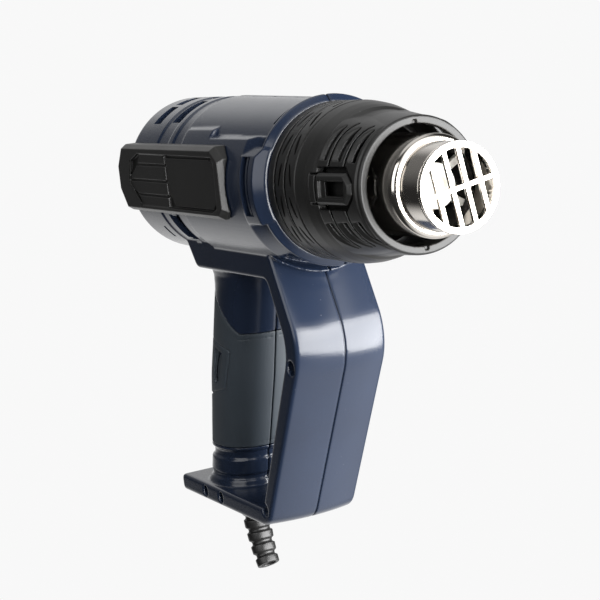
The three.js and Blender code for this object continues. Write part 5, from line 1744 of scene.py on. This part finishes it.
@dataclass
class Nozzle(SubAssembly):
    """The stepped steel tube, its slotted end and the heater behind it."""

    front: float = 244.0
    radius: float = 17.5
    body_radius: float = 20.2
    shoulder: float = 229.0
    shoulder_round: float = 2.4
    shoulder_root: float = 0.25
    inner_round: float = 0.8
    edge_round: float = 0.3
    tube_steps: int = 10
    wall: float = 0.9
    flange_radius: float = 27.2
    flange: Span = Span(139.0, 140.6)
    flange_root: float = 0.5
    grille_thickness: float = 1.6
    grille_spigot: float = 3.0
    grille_rim: float = 2.6
    grille_bar: float = 2.0
    grille_columns: int = 5
    grille_turn: float = 10.0
    core_x: Span = Span(112.0, 227.0)
    core_radius: float = 9.0
    core_bore: float = 5.0
    core_bore_depth: float = 3.0
    core_round: float = 0.6
    core_front_round: float = 1.0
    core_steps: int = 6
    spiders: tuple[float, ...] = (112.3, 218.0)
    spider_length: float = 3.0
    spider_width: float = 3.0
    spider_reach: float = 17.8
    spider_arms: int = 3
    coil_x: Span = Span(116.9, 216.4)
    coil_radius: float = 11.0
    coil_wire: float = 0.8
    coil_turns: int = 8
    coil_steps: tuple[int, int] = (40, 10)
    grille_moulding: Moulding = Moulding(grid=0.22, passes=2, keep=0.2)
    core_moulding: Moulding = Moulding(grid=0.4, passes=2, keep=0.15)

    def tube(self) -> Mesh:
        """The tube, spun from sheet, with a rolled shoulder."""
        end = self.front - self.grille_thickness - FIT
        inner = self.body_radius - self.wall
        profile = rounded(
            [
                Corner(self.flange.first, inner),
                Corner(self.flange.first, self.flange_radius, self.edge_round),
                Corner(self.flange.last, self.flange_radius, self.edge_round),
                Corner(self.flange.last, self.body_radius, self.flange_root),
                Corner(self.shoulder, self.body_radius, self.shoulder_round),
                Corner(self.shoulder, self.radius, self.shoulder_root),
                Corner(end, self.radius, self.edge_round),
                Corner(end, self.radius - self.wall),
                Corner(self.shoulder - self.wall, self.radius - self.wall),
                Corner(self.shoulder - self.wall, inner, self.inner_round),
            ],
            self.tube_steps,
        )
        return turned(profile, TUBE_FACETS)

    def grille(self) -> Mesh:
        """The slotted end, turned a little about the axis."""
        rear = self.front - self.grille_thickness
        spigot = self.radius - self.wall - FIT
        half_bar = self.grille_bar / 2
        body = joined(
            disc(rear, self.front, self.radius, TUBE_FACETS),
            turned(
                [
                    (rear - self.grille_spigot, spigot - self.wall),
                    (rear - self.grille_spigot, spigot),
                    (rear + self.grille_thickness / 2, spigot),
                    (rear + self.grille_thickness / 2, spigot - self.wall),
                ],
                TUBE_FACETS,
            ),
        )
        opening = self.radius - self.grille_rim
        through = Span(rear - PAST, self.front + PAST)
        window = disc(*through, opening, TUBE_FACETS)
        pitch = (2 * opening + self.grille_bar) / self.grille_columns
        slots = []
        for k in range(self.grille_columns):
            left = -opening + k * pitch
            y = Span(left, left + pitch - self.grille_bar)
            for z in (Span(half_bar, opening), Span(-opening, -half_bar)):
                slots.append(common(block(through, y, z), window))
        made = cut(body, *slots)
        made.transform(Matrix.Rotation(math.radians(self.grille_turn), 4, "X"))
        return made

    def core(self) -> Mesh:
        """The ceramic core on its spiders."""
        rear, front = self.core_x
        hub = turned(
            rounded(
                [
                    Corner(rear, 0),
                    Corner(rear, self.core_radius, self.core_round),
                    Corner(front, self.core_radius, self.core_front_round),
                    Corner(front, self.core_bore, self.core_round),
                    Corner(front - self.core_bore_depth, self.core_bore, self.core_round),
                    Corner(front - self.core_bore_depth, 0),
                ],
                self.core_steps,
            ),
            CORE_FACETS,
        )
        arms = []
        for x in self.spiders:
            for k in range(self.spider_arms):
                arm = block(
                    Span(x, x + self.spider_length),
                    centred(self.spider_width),
                    Span(-self.spider_reach, self.spider_reach),
                )
                arm.transform(Matrix.Rotation(math.pi * k / self.spider_arms, 4, "X"))
                arms.append(arm)
        return joined(hub, *arms)

    def coil(self) -> Mesh:
        """The wound wire, as one unbroken tube."""
        per_turn, sides = self.coil_steps
        steps = per_turn * self.coil_turns
        rings = []
        length = self.coil_x.last - self.coil_x.first
        for i in range(steps + 1):
            share = i / steps
            angle = 2 * math.pi * self.coil_turns * share
            outward = Vector((0, math.cos(angle), math.sin(angle)))
            centre = Vector((self.coil_x.first + length * share, 0, 0)) + outward * self.coil_radius
            around = 2 * math.pi * self.coil_turns * self.coil_radius
            heading = Vector((length, -math.sin(angle) * around, math.cos(angle) * around)).normalized()
            aside = heading.cross(outward).normalized()
            wire = circle(1.0, sides)
            rings.append([centre + (outward * c + aside * s) * self.coil_wire for c, s in wire])
        return skin(rings)

    def build(self) -> list[Piece]:
        """Tube, grille, core and coil."""
        grille = self.grille_moulding.soften(self.grille())
        core = self.core_moulding.soften(self.core())
        return [
            Piece("nozzle_tube_steel", self.tube(), Body.HOUSING, BRIGHT_STEEL, ("nozzle_tube",)),
            Piece("nozzle_grille_steel", grille, Body.HOUSING, BRIGHT_STEEL, ("nozzle_grille",)),
            Piece("heater_core_ceramic", core, Body.HOUSING, FIRED_CERAMIC, ("heater_core",)),
            Piece("heater_coil_wire", self.coil(), Body.HOUSING, WOUND_WIRE, ("heater_coil",)),
        ]


@dataclass
class RearCap(SubAssembly):
    """The slotted inlet cap in the rear opening."""

    housing: Housing
    flange_thickness: float = 2.0
    centre_radius: float = 11.0
    slot_width: float = 4.4
    slot_pitch: float = 8.0
    slot_rings: int = 2
    slot_arc: float = 56.0
    spokes: int = 5
    dish: float = 1.0
    dish_edge: Span = Span(4.0, 2.0)
    edge_bevel: float = 0.6
    moulding: Moulding = Moulding(grid=0.4, passes=4, keep=0.2)

    def build(self) -> list[Piece]:
        """The cap."""
        rear = self.housing.rear_lip_depth + FIT
        edge = self.housing.rear_opening - FIT
        back = rear + self.flange_thickness
        body = turned(
            [
                (self.dish, 0),
                (self.dish, self.centre_radius - self.dish_edge.first),
                (0, self.centre_radius - self.dish_edge.last),
                (0, edge - self.edge_bevel),
                (self.edge_bevel, edge),
                (rear, edge),
                (rear, self.housing.bore - FIT),
                (back, self.housing.bore - FIT),
                (back, 0),
            ],
            TUBE_FACETS,
        )
        slots = []
        for ring in range(self.slot_rings):
            inner = self.centre_radius + ring * self.slot_pitch
            for k in range(self.spokes):
                angles = centred(self.slot_arc, 360 * k / self.spokes)
                radii = Span(inner, inner + self.slot_width)
                slots.append(sector(Span(-PAST, back + PAST), radii, angles))
        mesh = self.moulding.soften(cut(body, *slots))
        return [Piece("rear_cap_moulding", mesh, Body.HOUSING, NAVY_SHELL, ("rear_cap",))]


@dataclass
class RockerSwitch(SubAssembly):
    """The rocker switch on the rear of the grip."""

    place: SwitchPlace
    bezel_corner: float = 2.4
    rocker_gap: float = 1.0
    window_depth: float = 5.6
    dish: float = 1.4
    moulding: Moulding = Moulding(grid=0.25, passes=3, keep=0.3)

    def frame_block(self) -> Mesh:
        """The bezel and the body behind it, with the rocker's window."""
        place = self.place
        depth, width, height = place.bezel
        body_depth, body_width, body_height = place.body
        _, rocker_width, rocker_height = place.rocker
        seat = place.seat - FIT
        c = self.bezel_corner
        outline = rounded(
            [
                Corner(-width / 2, -height / 2, c),
                Corner(width / 2, -height / 2, c),
                Corner(width / 2, height / 2, c),
                Corner(-width / 2, height / 2, c),
            ]
        )
        bezel = place.put(long_prism(outline, seat - depth, seat))
        body = place.brick(Span(seat - depth / 2, seat + body_depth - FIT), body_width, body_height)
        window = place.brick(
            Span(-place.seat, place.seat + self.window_depth),
            rocker_width + 2 * FIT,
            rocker_height + 2 * self.rocker_gap,
        )
        return cut(joined(bezel, body), window)

    def rocker(self) -> Mesh:
        """The rocker, dished in the middle and curved underneath."""
        depth, width, height = self.place.rocker
        top = self.place.seat - self.place.bezel[0] - FIT
        steps = 12
        shares = [k / steps for k in range(steps + 1)]
        dished = [(top - self.dish * (2 * share - 1) ** 2, height * (share - 0.5)) for share in shares]
        under = [
            (top + depth / 2, height / 2),
            (top + depth, height / 4),
            (top + depth, -height / 4),
            (top + depth / 2, -height / 2),
        ]
        return self.place.put(side_prism([*dished, *under], -width / 2, width / 2))

    def build(self) -> list[Piece]:
        """Switch body and rocker."""
        body = self.moulding.soften(self.frame_block())
        rocker = self.moulding.soften(self.rocker())
        return [
            Piece("switch_body_moulding", body, Body.HOUSING, CHARCOAL, ("switch_body",)),
            Piece("switch_rocker_moulding", rocker, Body.ROCKER, CHARCOAL, ("switch_rocker",)),
        ]


@dataclass
class CordSleeve(SubAssembly):
    """The ribbed rubber sleeve under the base, bent forwards."""

    housing: Housing
    length: float = 33.0
    bend: float = 34.0
    radii: Span = Span(7.2, 5.4)
    ribs: int = 5
    rib_profile: tuple[tuple[float, int], ...] = ((0.0, 0), (0.55, 0), (0.68, 1), (0.9, 1))
    groove: float = 1.2
    mouth_radius: float = 3.6
    mouth_depth: float = 8.0
    neck_radius: float = 5.4
    flange_radius: float = 8.0
    flange_thickness: float = 2.0
    moulding: Moulding = Moulding(grid=0.3, passes=4, keep=0.25)

    @property
    def top(self) -> float:
        """Z of the sleeve's upper end, under the boss."""
        return self.housing.base_bottom - self.housing.boss_length - FIT

    def ring(self, distance: float, radius: float) -> list[Vector]:
        """A ring of points at a distance down the sleeve, or up its straight neck if negative."""
        bend_radius = self.length / math.radians(self.bend)
        angle = max(distance, 0.0) / bend_radius
        centre = Vector(
            (
                self.housing.cord_x + bend_radius * (1 - math.cos(angle)),
                0,
                self.top - bend_radius * math.sin(angle) + max(-distance, 0.0),
            )
        )
        across = Vector((math.cos(angle), 0, math.sin(angle)))
        around = circle(1.0, HOLE_FACETS)
        return [centre + (across * c + Vector((0, s, 0))) * radius for c, s in around]

    def radius_at(self, distance: float) -> float:
        """The sleeve's outer radius, without its grooves."""
        return self.radii.first + (self.radii.last - self.radii.first) * distance / self.length

    def build(self) -> list[Piece]:
        """The sleeve."""
        floor = self.housing.grip.soffit_z + self.housing.cavity[-1] + FIT
        stem = floor - self.top
        stations = [
            (-stem - self.flange_thickness, self.flange_radius),
            (-stem, self.flange_radius),
            (-stem, self.neck_radius),
            (0.0, self.neck_radius),
        ]
        pitch = self.length / self.ribs
        for k in range(self.ribs):
            start = k * pitch
            for share, sunk in self.rib_profile if k < self.ribs - 1 else self.rib_profile[:2]:
                distance = start + share * pitch
                stations.append((distance, self.radius_at(distance) - sunk * self.groove))
        body = skin([self.ring(distance, radius) for distance, radius in stations])
        ends = (self.length - self.mouth_depth, self.length + PAST)
        mouth = skin([self.ring(distance, self.mouth_radius) for distance in ends])
        mesh = self.moulding.soften(cut(body, mouth))
        return [Piece("strain_relief_rubber", mesh, Body.HOUSING, BLACK_RUBBER, ("strain_relief",))]


@dataclass
class Fasteners(SubAssembly):
    """The housing's screws, deep in their wells, each with a cross recess."""

    housing: Housing
    head_length: float = 2.4
    shank_radius: float = 1.5
    length: float = 16.0
    recess_width: float = 0.9
    recess_share: float = 0.6
    recess_depth: float = 1.4
    moulding: Moulding = Moulding(grid=0.2, passes=2, keep=0.2)

    def build(self) -> list[Piece]:
        """One screw for each well."""
        pieces = []
        seat = -self.housing.half_width + self.housing.well_depth - FIT
        for node, x, z, well in self.housing.wells:
            radius = well - FIT
            head = cross_bar(x, z, Span(seat - self.head_length, seat), radius)
            shank = cross_bar(x, z, Span(seat - self.head_length / 2, seat + self.length), self.shank_radius)
            y = Span(seat - self.head_length - PAST, seat - self.head_length + self.recess_depth)
            slim, wide = self.recess_width, 2 * radius * self.recess_share
            cross = [block(centred(a, x), y, centred(b, z)) for a, b in ((slim, wide), (wide, slim))]
            mesh = self.moulding.soften(cut(joined(head, shank), *cross))
            pieces.append(Piece(f"{node}_steel", mesh, Body.HOUSING, PLATED_STEEL, (node,)))
        return pieces


@dataclass
class InnerWorks:
    """The blower, the heater's sleeve and the board, which keep their solids and get their finishes."""

    finishes: dict[str, Finish] = field(
        default_factory=lambda: {
            "motor": PLATED_STEEL,
            "motor_shaft": PLATED_STEEL,
            "motor_mount": CHARCOAL,
            "fan": CHARCOAL,
            "air_duct": CHARCOAL,
            # The mica sleeve gets the darkened mica, whose colour paints the shade inside the heater.
            "mica_sleeve": SHADED_MICA,
            "control_board": SOLDER_MASK,
            "cord_clamp": CHARCOAL,
        }
    )

    def dress(self, nodes: dict[str, bpy.types.Object]) -> None:
        """Gives each inner piece its finish.

        Args:
            nodes: The frame's nodes by name.
        """
        for name, finish in self.finishes.items():
            for slot in nodes[name].material_slots:
                slot.material = finish.material()
            log.info("%s: %s", name, finish.name)


# Studio


@dataclass(frozen=True)
class SoftBox:
    """A soft lamp: its place, what it faces and its size, in metres, its power, and its roll in degrees."""

    name: str
    place: Triple
    aim: Triple
    size: Pair
    power: float
    roll: float = 0.0

    def hang(self) -> None:
        """Puts the lamp into the scene."""
        lamp = bpy.data.lights.new(self.name, "AREA")
        lamp.shape = "RECTANGLE"
        lamp.size, lamp.size_y = self.size
        lamp.energy = self.power
        made = bpy.data.objects.new(self.name, lamp)
        turn = (Vector(self.aim) - Vector(self.place)).to_track_quat("-Z", "Y").to_matrix().to_4x4()
        spin = Matrix.Rotation(math.radians(self.roll), 4, "Z")
        made.matrix_world = Matrix.Translation(self.place) @ turn @ spin
        made.visible_camera = False
        bpy.context.scene.collection.objects.link(made)


class Glow(NamedTuple):
    """A soft patch of light in the surround: its heading, the cosines at edge and core, and its level."""

    heading: Triple
    edge: float
    core: float
    level: float


@dataclass
class Studio:
    """Pale floor, soft lamps, a surround with patches of light and the camera, in metres and degrees."""

    floor_z: float = -0.32
    floor_reach: float = 14.0
    surround: float = 0.94
    dark_level: float = 0.03
    glows: tuple[Glow, ...] = (
        Glow((-0.88, 0.4, 0.25), 0.82, 0.985, 0.85),
        Glow((-0.95, -0.15, 0.3), 0.85, 0.99, 0.2),
        Glow((-0.3, 0.0, 0.95), 0.8, 0.95, 0.9),
        Glow((-0.75, 0.15, -0.65), 0.74, 0.95, 1.0),
        Glow((0.5, 0.48, -0.72), 0.5, 0.95, 1.3),
        Glow((0.77, 0.12, 0.6), 0.75, 0.98, 2.3),
    )
    boxes: tuple[SoftBox, ...] = (
        SoftBox("front_box", (1.152, 0.533, -0.089), (0.19, 0.0, -0.07), (2.15, 1.2), 113.5, -7.0),
        SoftBox("side_box", (0.39, -1.05, 0.41), (0.19, 0.0, -0.07), (1.1, 1.0), 8.0),
    )
    camera_place: Triple = (0.79368, -0.344165, 0.065625)
    camera_lens: float = 104.615
    camera_sensor: float = 36.0
    camera_yaw: float = 63.6
    camera_pitch: float = 8.9
    camera_roll: float = -6.3

    def lay_floor(self) -> None:
        """A wide pale floor below the tool, as bright to the eye as the surround."""
        reach, z = self.floor_reach, self.floor_z
        corners = [(-reach, -reach, z), (reach, -reach, z), (reach, reach, z), (-reach, reach, z)]
        mesh = bpy.data.meshes.new("floor")
        mesh.from_pydata(corners, [], [(0, 1, 2, 3)])
        material = bpy.data.materials.new("pale_floor")
        material.use_nodes = True
        inputs = {
            "Base Color": BLACK,
            "Specular IOR Level": 0.0,
            "Emission Color": WHITE,
            "Emission Strength": self.surround,
        }
        Wiring(material.node_tree).feed(material.node_tree.nodes["Principled BSDF"], inputs)
        mesh.materials.append(material)
        floor = bpy.data.objects.new("floor", mesh)
        floor.visible_diffuse = False
        floor.visible_glossy = False
        floor.visible_shadow = False
        bpy.context.scene.collection.objects.link(floor)

    def light(self) -> None:
        """Lamps, and a surround that is white to the eye and lights the tool by its glows."""
        for box in self.boxes:
            box.hang()
        world = bpy.data.worlds.new("studio")
        world.use_nodes = True
        wiring = Wiring(world.node_tree)
        world.node_tree.nodes.clear()
        heading = wiring.add("ShaderNodeTexCoord").outputs["Generated"]
        level: Any = self.dark_level
        for glow in self.glows:
            middle = tuple(Vector(glow.heading).normalized())
            facing = wiring.add("ShaderNodeVectorMath", {0: heading, 1: middle}, operation="DOT_PRODUCT")
            patch = wiring.add(
                "ShaderNodeMapRange",
                {
                    "Value": facing.outputs["Value"],
                    "From Min": glow.edge,
                    "From Max": glow.core,
                    "To Max": glow.level,
                },
                interpolation_type="SMOOTHSTEP",
            )
            level = wiring.math("ADD", level, patch.outputs["Result"])
        lit = wiring.add("ShaderNodeBackground", {"Color": WHITE, "Strength": level})
        seen = wiring.add("ShaderNodeBackground", {"Color": WHITE, "Strength": self.surround})
        eye = wiring.add("ShaderNodeLightPath").outputs["Is Camera Ray"]
        mix = wiring.add("ShaderNodeMixShader", {0: eye, 1: lit.outputs[0], 2: seen.outputs[0]})
        wiring.add("ShaderNodeOutputWorld", {"Surface": mix.outputs[0]})
        bpy.context.scene.world = world
        bpy.context.scene.view_settings.view_transform = "Standard"

    def aim_camera(self) -> None:
        """The camera, at the photograph's viewpoint."""
        yaw, pitch = math.radians(self.camera_yaw), math.radians(self.camera_pitch)
        roll = math.radians(self.camera_roll)
        back = Vector((math.sin(yaw) * math.cos(pitch), -math.cos(yaw) * math.cos(pitch), math.sin(pitch)))
        right = Vector((0, 0, 1)).cross(back).normalized()
        up = back.cross(right)
        across = right * math.cos(roll) + up * math.sin(roll)
        above = up * math.cos(roll) - right * math.sin(roll)
        turn = Matrix((across, above, back)).transposed().to_4x4()
        lens = bpy.data.cameras.new("camera")
        lens.lens = self.camera_lens
        lens.sensor_width = self.camera_sensor
        camera = bpy.data.objects.new("camera", lens)
        camera.matrix_world = Matrix.Translation(self.camera_place) @ turn
        bpy.context.scene.collection.objects.link(camera)
        bpy.context.scene.camera = camera

    def set_up(self) -> None:
        """Floor, light and camera."""
        self.lay_floor()
        self.light()
        self.aim_camera()


def main() -> None:
    """Builds the tool, piece by piece, and the studio round it."""
    logging.basicConfig(level=logging.INFO, format="%(name)s: %(message)s")
    Studio().set_up()
    grip = Grip()
    switch = SwitchPlace(grip)
    housing = Housing(grip, switch)
    collar = FrontCollar(housing)
    assemblies: list[SubAssembly] = [
        housing,
        GripCovers(housing),
        SidePads(housing),
        collar,
        NoseGuard(collar),
        Nozzle(),
        RearCap(housing),
        RockerSwitch(switch),
        CordSleeve(housing),
        Fasteners(housing),
    ]
    for assembly in assemblies:
        assembly.dress()
    InnerWorks().dress(frame["nodes"])


if __name__ == "__main__":
    main()
